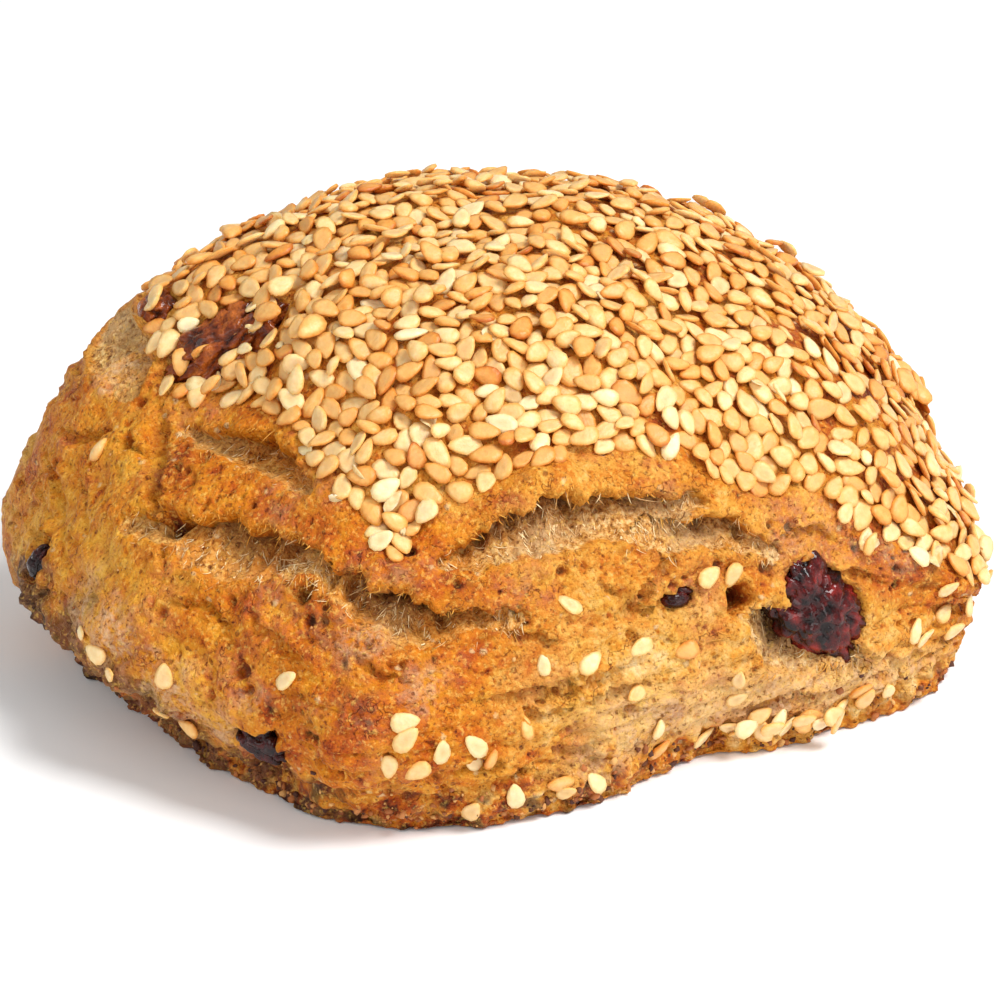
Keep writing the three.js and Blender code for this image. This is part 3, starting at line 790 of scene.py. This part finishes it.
# painted shade along hair-thin creases
crease_line = maths(tree, "ABSOLUTE", maths(tree, "SUBTRACT", grain(tree, 0.0052, 4.0), 0.5))
creases = maths(tree, "SUBTRACT", 1.0, between(tree, crease_line, 0.0, 0.009))
creases = product(tree, creases, between(tree, patches, 0.50, 0.62))
colour = tinted(tree, colour, creases, (170, 110, 62), 1.0, "MULTIPLY")
SHADE_STOPS = ((0.30, (158, 126, 90)), (0.43, (244, 236, 220)), (0.60, (255, 255, 255)))
colour = blend(tree, 1.0, colour, ramp(tree, speckle, SHADE_STOPS), "MULTIPLY")
light_grain = between(tree, grain(tree, 0.00055, 3.0), 0.54, 0.68)
colour = tinted(tree, colour, light_grain, (252, 202, 100), 0.45)
fine_relief = summed(
    tree, (mottle, 1.0), (speckle, 0.8), (pores, -0.325), (flecks, 0.3), (creases, -0.4)
)
set_inputs(shader, {
    "Base Color": colour,
    "Roughness": 0.55,
    "Specular IOR Level": 0.22,
    "Subsurface Weight": 0.06,
    "Subsurface Radius": (1.0, 0.5, 0.25),
    "Subsurface Scale": 0.0008,
    "Normal": bumps(tree, fine_relief, 0.9, 0.0006),
})
crust.data.materials.append(crust_finish)
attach(crust, "root")
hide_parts("bread_roll")

# the surface that wisps, seeds and crumbs are laid on, reached by rays from a little above it
RAY_START = 3.0
bed_points = [tuple(point) for point in torn]
bed_faces = [tuple(face.vertices) for face in crust.data.polygons]
crust_surface = BVHTree.FromPolygons(bed_points, bed_faces)


def surface_under(bed, spot, out, reach):
    """Where a ray straight in from above a spot meets the bed, and how far it went."""
    hit, _, _, gap = bed.ray_cast(Vector(spot + RAY_START * out), Vector(-out), reach)
    return hit, gap


# Torn crumb: where the crust tore, the soft inside was drawn out in short fine wisps, which lie
# over the crumb like fleece and fray the lips of the tears.
WISPS_PER_MM = 30
WISP_STEPS = (0.0, 0.4, 0.75, 1.0)
WISP_SIDES = 3
random_wisps = np.random.default_rng(21)


def wisp_tubes(roots, ways, curls, lengths, widths):
    """Tapered, curling threads of three sides as one set of points and faces."""
    count = len(roots)
    side = unit(np.cross(ways, random_wisps.normal(size=(count, 3))))
    other = np.cross(ways, side)
    rings = []
    for step in WISP_STEPS[:-1]:
        heart = roots + ways * (lengths * step)[:, None] + curls * (lengths * step**2)[:, None]
        for corner in range(WISP_SIDES):
            angle = 2.0 * math.pi * corner / WISP_SIDES
            spread = side * math.cos(angle) + other * math.sin(angle)
            rings.append(heart + spread * (widths * (1.0 - 0.6 * step))[:, None])
    rings.append(roots + (ways + curls) * lengths[:, None])
    points = np.stack(rings, 1)
    faces = [(2, 1, 0)]
    for ring in range(len(WISP_STEPS) - 2):
        for corner in range(WISP_SIDES):
            after = (corner + 1) % WISP_SIDES
            low, high = ring * WISP_SIDES, (ring + 1) * WISP_SIDES
            faces.append((low + corner, low + after, high + after, high + corner))
    tip = points.shape[1] - 1
    for corner in range(WISP_SIDES):
        faces.append((tip - 3 + corner, tip - 3 + (corner + 1) % WISP_SIDES, tip))
    return points, faces


def joined_copies(name, points, faces):
    """One mesh of many copies: points is copies by points by 3, in mm, faces those of one copy."""
    count, each = points.shape[:2]
    sizes = np.array([len(face) for face in faces])
    corners = np.concatenate([np.array(face) for face in faces])
    every = (corners[None, :] + each * np.arange(count)[:, None]).ravel()
    mesh = bpy.data.meshes.new(name)
    mesh.vertices.add(count * each)
    mesh.vertices.foreach_set("co", np.ascontiguousarray(points * MM, dtype=np.float32).ravel())
    mesh.loops.add(len(every))
    mesh.loops.foreach_set("vertex_index", every.astype(np.int32))
    mesh.polygons.add(count * len(faces))
    starts = np.concatenate(([0], np.cumsum(np.tile(sizes, count))[:-1]))
    mesh.polygons.foreach_set("loop_start", starts.astype(np.int32))
    mesh.update(calc_edges=True)
    mesh.validate()
    piece = bpy.data.objects.new(name, mesh)
    bpy.context.collection.objects.link(piece)
    mesh.shade_smooth()
    return piece


wisp_roots, wisp_ways, wisp_lengths, wisp_tones = [], [], [], []
for key, (path, opening, depth, _) in enumerate(TEARS):
    if depth < 2.0:
        continue
    middle, normals, across, lengths, _ = tear_route(path)
    count = int(WISPS_PER_MM * lengths[-1] * opening / 5.0)
    way = random_wisps.uniform(0.04, 0.96, count)
    index = (way * (TEAR_STEPS - 1)).astype(int)
    upper, lower = tear_edges(way, lengths[index], opening, key)
    part = random_wisps.uniform(-0.06, 1.1, count)
    start = middle[index] + across[index] * (upper + (lower - upper) * part)[:, None]
    along = unit(np.cross(across[index], normals[index]))
    lean = random_wisps.normal(0.0, 0.28 if opening < 4.5 else 0.5, count)
    way_out = across[index] + along * lean[:, None]
    way_out = unit(way_out + normals[index] * random_wisps.uniform(-0.1, 0.35, count)[:, None])
    for spot, out, heading, share in zip(start, normals[index], way_out, part):
        hit, _ = surface_under(crust_surface, spot, out, 12.0)
        if hit is None:
            continue
        wisp_roots.append(np.array(hit) - 0.06 * out)
        wisp_ways.append(heading)
        wisp_lengths.append(0.5 if share < 0.0 or share > 1.0 else 1.15)
        wisp_tones.append(1.0 if share < 0.02 or share > 0.97 else 0.0)
wisp_roots, wisp_ways = np.array(wisp_roots), np.array(wisp_ways)
wisp_lengths = np.array(wisp_lengths) * random_wisps.uniform(0.5, 1.35, len(wisp_roots))
wisp_curls = 0.35 * random_wisps.normal(size=wisp_roots.shape)
wisp_widths = random_wisps.uniform(0.04, 0.10, len(wisp_roots))
points, faces = wisp_tubes(wisp_roots, wisp_ways, wisp_curls, wisp_lengths, wisp_widths)
wisps = joined_copies("torn_crumb", points, faces)
paint(wisps, "frayed", np.repeat(wisp_tones, points.shape[1]))
wisp_shades = random_wisps.uniform(0.0, 1.0, len(wisp_roots))
paint(wisps, "shade", np.repeat(wisp_shades, points.shape[1]))
wisp_finish, tree, shader = new_finish("fleecy_crumb")
pale_crumb = ramp(tree, painted(tree, "shade"), ((0.1, (204, 150, 84)), (0.8, (255, 232, 180))))
frayed_crust = ramp(tree, grain(tree, 0.0010), ((0.3, (214, 136, 40)), (0.7, (240, 184, 88))))
wisp_colour = blend(tree, painted(tree, "frayed"), pale_crumb, frayed_crust)
set_inputs(shader, {"Base Color": wisp_colour, "Roughness": 0.85, "Specular IOR Level": 0.2})
wisps.data.materials.append(wisp_finish)
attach(wisps, "root")
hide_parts("bread_roll")


# Dried berries, baked into the dough: leathery skins that shrank into deep folds, dark red and
# sticky where they show at the sides, browner where the oven's top heat reached them.
BERRY_SEGMENTS = 48
BERRY_RINGS = 32
berry_finish, tree, shader = new_finish("dried_berry_skin")
berry_patches = grain(tree, 0.0022, 4.0)
RED_STOPS = ((0.38, (16, 3, 4)), (0.52, (84, 13, 12)), (0.68, (152, 38, 32)))
BROWN_STOPS = ((0.34, (52, 16, 4)), (0.5, (132, 56, 14)), (0.66, (192, 104, 36)))
SHINE_STOPS = ((0.3, (90, 90, 90)), (0.7, (150, 150, 150)))
berry_colour = ramp(tree, berry_patches, RED_STOPS)
# painted shade: the skin is darkened in its folds
berry_colour = tinted(tree, berry_colour, painted(tree, "crease"), (26, 8, 9))
brown_skin = ramp(tree, berry_patches, BROWN_STOPS)
set_inputs(shader, {
    "Base Color": blend(tree, painted(tree, "browned"), berry_colour, brown_skin),
    "Roughness": ramp(tree, grain(tree, 0.0012), SHINE_STOPS),
    "Specular IOR Level": 0.1,
    "Coat Weight": 0.5,
    "Coat Roughness": 0.05,
    "Normal": bumps(tree, grain(tree, 0.0009, 4.0), 0.9, 0.0009),
})

for key, (name, turn, down, half, heading, sunk) in enumerate(BERRIES):
    bpy.ops.object.select_all(action="DESELECT")
    bpy.ops.mesh.primitive_uv_sphere_add(
        segments=BERRY_SEGMENTS, ring_count=BERRY_RINGS, radius=1.0, rotation=(0, math.pi / 2, 0)
    )
    berry = bpy.context.object
    berry.name = "dried_" + name
    bpy.ops.object.transform_apply(location=True, rotation=True, scale=True)
    put_in_order(berry)
    split_faces(berry, "CATMULL_CLARK", 1)
    spots = ball_directions(berry)
    sized = spots * half
    folds = np.stack((sized[:, 0] / 3.0, sized[:, 1] / 1.7, sized[:, 2] / 1.7), -1)
    ridge = 1.0 - np.abs(relief(folds, 1.0, 30 + key)) * 2.2
    crease = np.clip(ridge, 0.0, 1.0) ** 3
    fine_ridge = 1.0 - np.abs(relief(sized, 1.3, 50 + key)) * 2.2
    fine_crease = np.clip(fine_ridge, 0.0, 1.0) ** 3
    fold_depth = 0.20 if name == "berry_front" else 0.30
    shrink = fold_depth * crease + 0.10 * fine_crease - 0.06
    shrink += 0.03 * relief(sized, 0.8, 60 + key) - 0.6 * fold_depth * relief(sized, 3.0, 40 + key)
    place, along, aside, normal = berry_frame(turn, down, heading)
    sized = sized * (1.0 - shrink)[:, None]
    shaped = place - normal * sunk + sized @ np.stack((along, aside, normal))
    move_points(berry, shaped)
    first = len(bed_points)
    bed_points += [tuple(point) for point in shaped]
    bed_faces += [tuple(first + v for v in face.vertices) for face in berry.data.polygons]
    browned = 0.95 if name in ("berry_top", "berry_rim") else 0.0
    # the three small berries sunk deep in pits and slits are painted near black all over
    near_black = 0.7 if name in ("berry_corner", "berry_left", "berry_crack") else 0.0
    # the folds' darkness is painted shade
    paint(berry, "crease", np.maximum(0.85 * crease, near_black))
    paint(berry, "browned", np.full(len(spots), browned))
    berry.data.materials.append(berry_finish)
    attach(berry, "root")
    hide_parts(name)


# Sesame: hulled seeds pressed on the wet dough before baking, so that they lie close on the
# dome, some on others and all partly sunk, with a few strays that rolled down the sides.
SEED_HALF = (1.60, 1.00, 0.47)
SEED_TAPER = 0.36
SEED_SPACING = 1.48
SEED_DRAWS = 9000
SEED_DISCS = (0.85, 0.05, -0.69)
SEED_DISC_RADII = (0.47, 0.79, 0.70)
SETTLE_ROUNDS = 12
SEED_SINK = 0.18
SEED_TILT = 0.22
random_seeds = np.random.default_rng(8)


def shape_taken():
    """The points and faces of the object just made, which is then removed."""
    shape = bpy.context.object
    put_in_order(shape)
    shape_points = np.array([vertex.co for vertex in shape.data.vertices])
    shape_faces = [tuple(face.vertices) for face in shape.data.polygons]
    bpy.data.objects.remove(shape)
    return shape_points, shape_faces


def level_parts(directions, normals):
    """The parts of directions that lie along the crust, at unit length."""
    return unit(directions - normals * np.sum(directions * normals, -1, keepdims=True))


def headings_on(normals, falls, degrees):
    """Directions along the crust, turned by degrees from level."""
    levels = unit(np.cross(-falls, normals))
    angles = np.radians(degrees)[:, None]
    return levels * np.cos(angles) + np.cross(normals, levels) * np.sin(angles)


def laid_out(own, places, axes, normals):
    """Copies of a shape's own points, each along its axis and normal at its place."""
    spots = places[:, None, :] + own[..., :1] * axes[:, None, :]
    spots = spots + own[..., 1:2] * np.cross(normals, axes)[:, None, :]
    return spots + own[..., 2:] * normals[:, None, :]


bpy.ops.object.select_all(action="DESELECT")
bpy.ops.mesh.primitive_uv_sphere_add(segments=12, ring_count=5, radius=1.0)
seed_points, seed_faces = shape_taken()
seed_rim = np.hypot(seed_points[:, 0], seed_points[:, 1])
seed_tip = seed_points[:, 0].copy()
seed_facet = np.maximum(seed_points[:, 2], 0.0) ** 3
seed_points[:, 1] *= 1.0 - SEED_TAPER * seed_tip
seed_points[:, 2] *= 1.0 - 0.25 * seed_tip
seed_points[:, 2] = np.where(seed_points[:, 2] < 0, 0.6 * seed_points[:, 2], seed_points[:, 2])
seed_points *= SEED_HALF

face_count = len(crust.data.polygons)
face_areas, face_centres = np.empty(face_count), np.empty(face_count * 3)
crust.data.polygons.foreach_get("area", face_areas)
crust.data.polygons.foreach_get("center", face_centres)
face_centres = face_centres.reshape(-1, 3) * 1000.0
face_starts = np.empty(face_count, dtype=np.int32)
crust.data.polygons.foreach_get("loop_start", face_starts)
loop_points = np.empty(len(crust.data.loops), dtype=np.int32)
crust.data.loops.foreach_get("vertex_index", loop_points)
first_points = loop_points[face_starts]
seeded = face_areas * (under_seeds[first_points] > 0.5) * (pocket[first_points] < 0.2)
draws = random_seeds.choice(face_count, SEED_DRAWS, p=seeded / seeded.sum())
picked = []
for draw in draws:
    gaps = face_centres[picked] - face_centres[draw]
    if not picked or np.min(np.einsum("ab,ab->a", gaps, gaps)) > SEED_SPACING**2:
        picked.append(draw)
picked = np.array(picked)
dome_count = len(picked)

# turn, down and heading of each stray, as they lie on the shown sides, then on the others
STRAYS = (
    (274, 0.42, 20), (278.6, 0.415, 245), (249, 0.39, 135), (251, 0.54, 40), (260, 0.54, 200),
    (268, 0.58, 190), (244, 0.52, 95), (259, 0.67, 200), (226, 0.59, 10), (226, 0.64, 40),
    (230, 0.71, 85), (234, 0.71, 130), (236, 0.77, 75), (241, 0.69, 95), (224, 0.74, 260),
    (227, 0.77, 200), (234, 0.79, 140), (239, 0.96, 95), (264, 0.84, 92), (265, 0.96, 60),
    (278, 0.71, 85), (279, 0.80, 35), (246, 0.97, 165), (282, 0.94, 30), (286, 0.96, 20),
    (290, 0.92, 40), (294, 0.90, 25), (295, 0.96, 45), (291, 0.98, 80), (300, 0.89, 65),
    (302, 0.06, 50), (300, -0.01, 30), (307, 0.56, 70), (309, 0.61, 35), (312, 0.46, 45),
    (178.5, 0.62, 10), (182.5, 0.64, 160), (185.5, 0.67, 20), (193, 0.63, 90), (191, 0.77, 15),
    (193.5, 0.82, 165), (162, 0.25, 80), (223, 0.05, 120), (221, 0.01, 40), (210.8, 0.52, 30),
    (157.8, -0.18, 60), (174.0, -0.17, 10), (171.0, -0.13, 75), (166.8, -0.31, 150),
    (282, 1.03, 10), (285, 1.0, 120), (289, 1.04, 60), (293, 1.0, 150), (298, 1.02, 20),
    (287, 0.94, 75), (292, 0.96, 10), (284, 0.90, 40), (280, 0.97, 160), (247, 1.04, 20),
    (252, 1.02, 130), (233, 1.02, 60), (276, 1.02, 30), (301, 0.95, 80), (302, 0.08, 40),
    (311, 0.16, 60), (308, 0.02, 130), (314, 0.60, 20), (316, 0.42, 80), (304, 0.92, 130),
    (140, 0.68, 30), (132, 0.72, 110), (118, 0.62, 15), (104, 0.55, 75), (97, 0.82, 140),
    (86, 0.66, 20), (70, 0.80, 95), (58, 0.45, 60), (52, 0.74, 150), (33, 0.68, 35),
    (22, 0.86, 100), (10, 0.72, 10), (352, 0.80, 70), (341, 0.66, 125), (328, 0.78, 45),
)
stray_table = np.array(STRAYS, float)
stray_points, stray_normals, stray_falls = crust_frames(
    stray_table[:, 0], down_share(stray_table[:, 1])
)
stray_axes = headings_on(stray_normals, stray_falls, stray_table[:, 2])

centres = np.concatenate((face_centres[picked], stray_points))
seed_count = len(centres)
free = np.arange(seed_count) < dome_count
normals = np.concatenate((outward[first_points[picked]], stray_normals))
axes = random_seeds.normal(size=(seed_count, 3))
axes[~free] = stray_axes
axes = level_parts(axes, normals)
seed_sizes = np.clip(random_seeds.normal(1.0, 0.085, seed_count), 0.78, 1.2)
seed_sizes[~free] *= 0.88

# settle: seeds that overlap push one another along the crust and turn
discs = np.array(SEED_DISCS)
radii = np.array(SEED_DISC_RADII)
for settle in range(SETTLE_ROUNDS):
    if settle % 6 == 0:
        gaps = centres[:, None, :] - centres[None, :, :]
        first, second = np.nonzero(np.triu(np.einsum("abc,abc->ab", gaps, gaps) < 4.2**2, 1))
    arms = axes[:, None, :] * (discs[None, :, None] * seed_sizes[:, None, None])
    spots = centres[:, None, :] + arms
    between_discs = spots[first][:, :, None, :] - spots[second][:, None, :, :]
    distance = np.linalg.norm(between_discs, axis=-1) + 1e-6
    touch = radii[:, None] * seed_sizes[first][:, None, None]
    touch = touch + radii[None, :] * seed_sizes[second][:, None, None]
    press = np.clip(touch - distance, 0.0, None) / distance
    push = between_discs * (0.32 * press)[..., None]
    moves, twists = np.zeros_like(centres), np.zeros_like(centres)
    np.add.at(moves, first, push.sum((1, 2)))
    np.add.at(moves, second, -push.sum((1, 2)))
    np.add.at(twists, first, np.cross(arms[first], push.sum(2)).sum(1))
    np.add.at(twists, second, np.cross(arms[second], -push.sum(1)).sum(1))
    moves *= np.minimum(1.0, 0.35 / (np.linalg.norm(moves, axis=-1, keepdims=True) + 1e-9))
    centres[free] += moves[free]
    turn_by = np.clip(0.5 * np.sum(twists * normals, -1, keepdims=True), -0.25, 0.25)
    turned = axes + np.cross(normals, axes) * turn_by
    axes[free] = turned[free]
    for index in np.flatnonzero(free):
        spot, face_normal, _, _ = crust_surface.find_nearest(Vector(centres[index]))
        centres[index] = spot
        normals[index] = unit(0.75 * normals[index] + 0.25 * np.array(face_normal))
    axes = level_parts(axes, normals)

# lay them down in turn, each on the crust, the berries and the seeds already under it
seed_bed = BVHTree.FromPolygons(bed_points, bed_faces)
FOOTPRINT = np.array(
    ((0.0, 0.0), (0.9, 0.0), (-0.9, 0.0), (0.0, 0.85), (0.0, -0.85), (0.5, 0.5), (0.5, -0.5),
     (-0.6, 0.6), (-0.6, -0.6))
)
plane_terms = np.column_stack((np.ones(len(FOOTPRINT)), FOOTPRINT))
plane_fit = np.linalg.pinv(plane_terms)
gaps = centres[:, None, :] - centres[None, :, :]
close_by = np.einsum("abc,abc->ab", gaps, gaps) < 3.3**2
laid = np.zeros(seed_count, bool)
for index in random_seeds.permutation(seed_count):
    normal, axis = normals[index], axes[index]
    side = np.cross(normal, axis)
    size = seed_sizes[index]
    steps = FOOTPRINT * (SEED_HALF[0] * size, SEED_HALF[1] * size)
    spots = centres[index] + steps[:, :1] * axis + steps[:, 1:] * side
    heights = np.full(len(spots), -0.6)
    for number, spot in enumerate(spots):
        hit, gap = surface_under(seed_bed, spot, normal, 5.0)
        if hit is not None:
            heights[number] = max(RAY_START - gap, -0.6) - SEED_SINK
    for other in np.flatnonzero(close_by[index] & laid):
        offset = spots - centres[other]
        other_side = np.cross(normals[other], axes[other])
        along_other = offset @ axes[other] / (SEED_HALF[0] * seed_sizes[other])
        aside_other = offset @ other_side / (SEED_HALF[1] * seed_sizes[other])
        left_over = 1.0 - along_other**2 - aside_other**2
        top = SEED_HALF[2] * seed_sizes[other] * np.sqrt(np.clip(left_over, 0.0, None))
        raised = (spots - centres[index]) @ normal
        raised = raised + (top - offset @ normals[other]) * (normals[other] @ normal)
        heights = np.where(left_over > 0.02, np.maximum(heights, raised - 0.08), heights)
    level, slope_along, slope_aside = plane_fit @ heights
    slopes = np.clip((slope_along, slope_aside), -0.75, 0.75)
    slopes = slopes + random_seeds.normal(0.0, SEED_TILT, 2) * (1.0, 0.7)
    level += max(0.0, float(np.max(heights - plane_terms @ (level, *slopes))) - 0.14)
    centres[index] = centres[index] + normal * (level + 0.6 * SEED_HALF[2] * size)
    tilt = axis * slopes[0] / (SEED_HALF[0] * size) + side * slopes[1] / (SEED_HALF[1] * size)
    normals[index] = unit(normal - tilt)
    axes[index] = unit(axis - normals[index] * (axis @ normals[index]))
    laid[index] = True

shape_noise = random_seeds.normal(0.0, 0.06, (seed_count, 3))
facets = np.clip(random_seeds.normal(0.5, 0.3, seed_count), 0.0, 0.9)
own = seed_points[None, :, :] * (seed_sizes[:, None, None] * (1.0 + shape_noise[:, None, :]))
own[..., 2] *= 1.0 - facets[:, None] * seed_facet[None, :]
own = own + 0.05 * random_seeds.normal(size=own.shape) * (0.4, 0.4, 0.5)
sesame = joined_copies("sesame_seeds", laid_out(own, centres, axes, normals), seed_faces)
toast = np.clip(random_seeds.normal(0.42, 0.15, seed_count), 0.0, 1.0)
toast[~free] = np.clip(toast[~free] - 0.16, 0.0, 1.0)
paint(sesame, "toast", np.repeat(toast, len(seed_points)))
paint(sesame, "facet", np.repeat(facets, len(seed_points)) * np.tile(seed_facet, seed_count))
paint(sesame, "rim", np.tile(seed_rim, seed_count))

seed_finish, tree, shader = new_finish("sesame_hull")
rim_toast = maths(tree, "POWER", painted(tree, "rim"), 4.0)
toasting = summed(
    tree,
    (painted(tree, "toast"), 1.0),
    (grain(tree, 0.0009, 3.0), 0.5),
    (rim_toast, 0.3),
    (1.0, -0.24),
)
SEED_STOPS = (
    (0.0, (252, 234, 190)), (0.28, (247, 212, 150)), (0.52, (237, 180, 100)),
    (0.78, (222, 144, 54)), (1.0, (186, 98, 24)),
)
seed_colour = ramp(tree, toasting, SEED_STOPS)
set_inputs(shader, {
    "Base Color": tinted(tree, seed_colour, painted(tree, "facet"), (212, 164, 102), 0.85),
    "Roughness": 0.4,
    "Specular IOR Level": 0.45,
    "Subsurface Weight": 0.25,
    "Subsurface Radius": (1.0, 0.55, 0.25),
    "Subsurface Scale": 0.0009,
    "Normal": bumps(tree, grain(tree, 0.0005, 3.0), 0.4, 0.0003),
})
sesame.data.materials.append(seed_finish)
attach(sesame, "root")
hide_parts("bread_roll")

# Hull flakes: papery skins that came off the seeds and lie crumpled among them.
FLAKES = (
    (168, -0.02, 40), (171, -0.05, 110), (180, -0.08, 20), (181, -0.11, 75), (198, -0.38, 30),
    (222, -0.09, 60), (224, -0.02, 95), (203, -0.10, 120), (165, -0.25, 50), (171, -0.19, 10),
    (184, -0.24, 140), (302, 0.07, 80), (310, 0.0, 35), (281, -0.52, 15), (227, -0.27, 65),
    (216, -0.13, 100), (213, -0.05, 30), (240, -0.45, 70), (262, -0.35, 20), (250, -0.8, 110),
    (300, -0.3, 40), (320, -0.1, 90), (335, 0.1, 10), (350, 0.2, 60), (20, 0.1, 30),
    (60, -0.3, 80), (100, -0.3, 120), (130, -0.5, 20), (200, -0.7, 60), (150, -0.6, 100),
)
FLAKE_HALF = (1.15, 0.75, 0.07)
random_flakes = np.random.default_rng(4)
flake_table = np.array(FLAKES, float)
flake_places, flake_normals, flake_falls = crust_frames(
    flake_table[:, 0], down_share(flake_table[:, 1])
)
flake_count = len(FLAKES)
flat_points = seed_points / SEED_HALF
curl = random_flakes.normal(0.0, 0.25, (flake_count, 2))
own = flat_points[None, :, :] * (1.0 + 0.3 * random_flakes.normal(size=(flake_count, 1, 3)))
own = own + 0.07 * random_flakes.normal(size=own.shape) * (1.0, 1.0, 3.0)
own = own * FLAKE_HALF
own[..., 2] += curl[:, :1] * own[..., 0] ** 2 + curl[:, 1:] * own[..., 1] ** 2
leaning = unit(flake_normals + 0.35 * random_flakes.normal(size=flake_normals.shape))
flake_axes = level_parts(headings_on(flake_normals, flake_falls, flake_table[:, 2]), leaning)
seated = flake_places + flake_normals * (0.45 - SEED_BED * (flake_table[:, 1:2] < 0.0))
seated += flake_normals * random_flakes.uniform(0.0, 0.5, (flake_count, 1))
flakes = joined_copies("hull_flakes", laid_out(own, seated, flake_axes, leaning), seed_faces)
flake_finish, tree, shader = new_finish("papery_hull")
flake_colour = ramp(tree, grain(tree, 0.0012, 3.0), ((0.3, (214, 162, 84)), (0.7, (250, 226, 170))))
set_inputs(shader, {
    "Base Color": flake_colour,
    "Roughness": 0.5,
    "Subsurface Weight": 0.4,
    "Subsurface Radius": (1.0, 0.8, 0.6),
    "Subsurface Scale": 0.001,
})
flakes.data.materials.append(flake_finish)
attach(flakes, "root")
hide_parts("bread_roll")


# Baked crumbs: bits of dough and bran that stuck along the foot and, thinly, over the sides.
RIM_CRUMBS = 1100
SIDE_CRUMBS = 420
random_crumbs = np.random.default_rng(17)
bpy.ops.object.select_all(action="DESELECT")
bpy.ops.mesh.primitive_ico_sphere_add(subdivisions=1, radius=1.0)
crumb_points, crumb_faces = shape_taken()
crumb_turns = random_crumbs.uniform(0.0, 360.0, RIM_CRUMBS + SIDE_CRUMBS)
crumb_downs = np.concatenate(
    (random_crumbs.normal(1.14, 0.17, RIM_CRUMBS), random_crumbs.uniform(0.1, 0.95, SIDE_CRUMBS))
)
crumb_places, crumb_normals, _ = crust_frames(crumb_turns, down_share(crumb_downs))
crumb_sizes = 0.12 + 0.40 * random_crumbs.uniform(0.0, 1.0, len(crumb_turns)) ** 2.2
crumb_sizes[RIM_CRUMBS:] *= 0.55
for index, (spot, out) in enumerate(zip(crumb_places, crumb_normals)):
    hit, _ = surface_under(crust_surface, spot, out, 8.0)
    if hit is not None:
        crumb_places[index] = hit
crumb_places[:, 2] = np.maximum(crumb_places[:, 2], 0.6 * crumb_sizes)
darkness = random_crumbs.uniform(0.0, 1.0, len(crumb_turns))
darkness[RIM_CRUMBS:] *= 0.5
to_seeds = np.linalg.norm(crumb_places[:, None, :] - centres[None, :, :], axis=-1)
clear = to_seeds.min(axis=1) > 1.3
crumb_places, crumb_sizes, darkness = crumb_places[clear], crumb_sizes[clear], darkness[clear]
crumb_count = len(crumb_places)
own = crumb_points[None] * (1.0 + 0.3 * random_crumbs.normal(size=(crumb_count, 12, 3)))
own = own * (crumb_sizes[:, None] * random_crumbs.uniform(0.6, 1.2, (crumb_count, 3)))[:, None]
grit = joined_copies("baked_crumbs", crumb_places[:, None, :] + own, crumb_faces)
paint(grit, "bake", np.repeat(darkness, len(crumb_points)))
grit_finish, tree, shader = new_finish("crumb_grit")
grit_bake = summed(tree, (painted(tree, "bake"), 1.0), (grain(tree, 0.0008), 0.2))
GRIT_STOPS = ((0.1, (222, 170, 100)), (0.5, (178, 104, 48)), (0.95, (74, 34, 18)))
set_inputs(shader, {"Base Color": ramp(tree, grit_bake, GRIT_STOPS), "Roughness": 0.7})
grit.data.materials.append(grit_finish)
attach(grit, "root")
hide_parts("bread_roll")
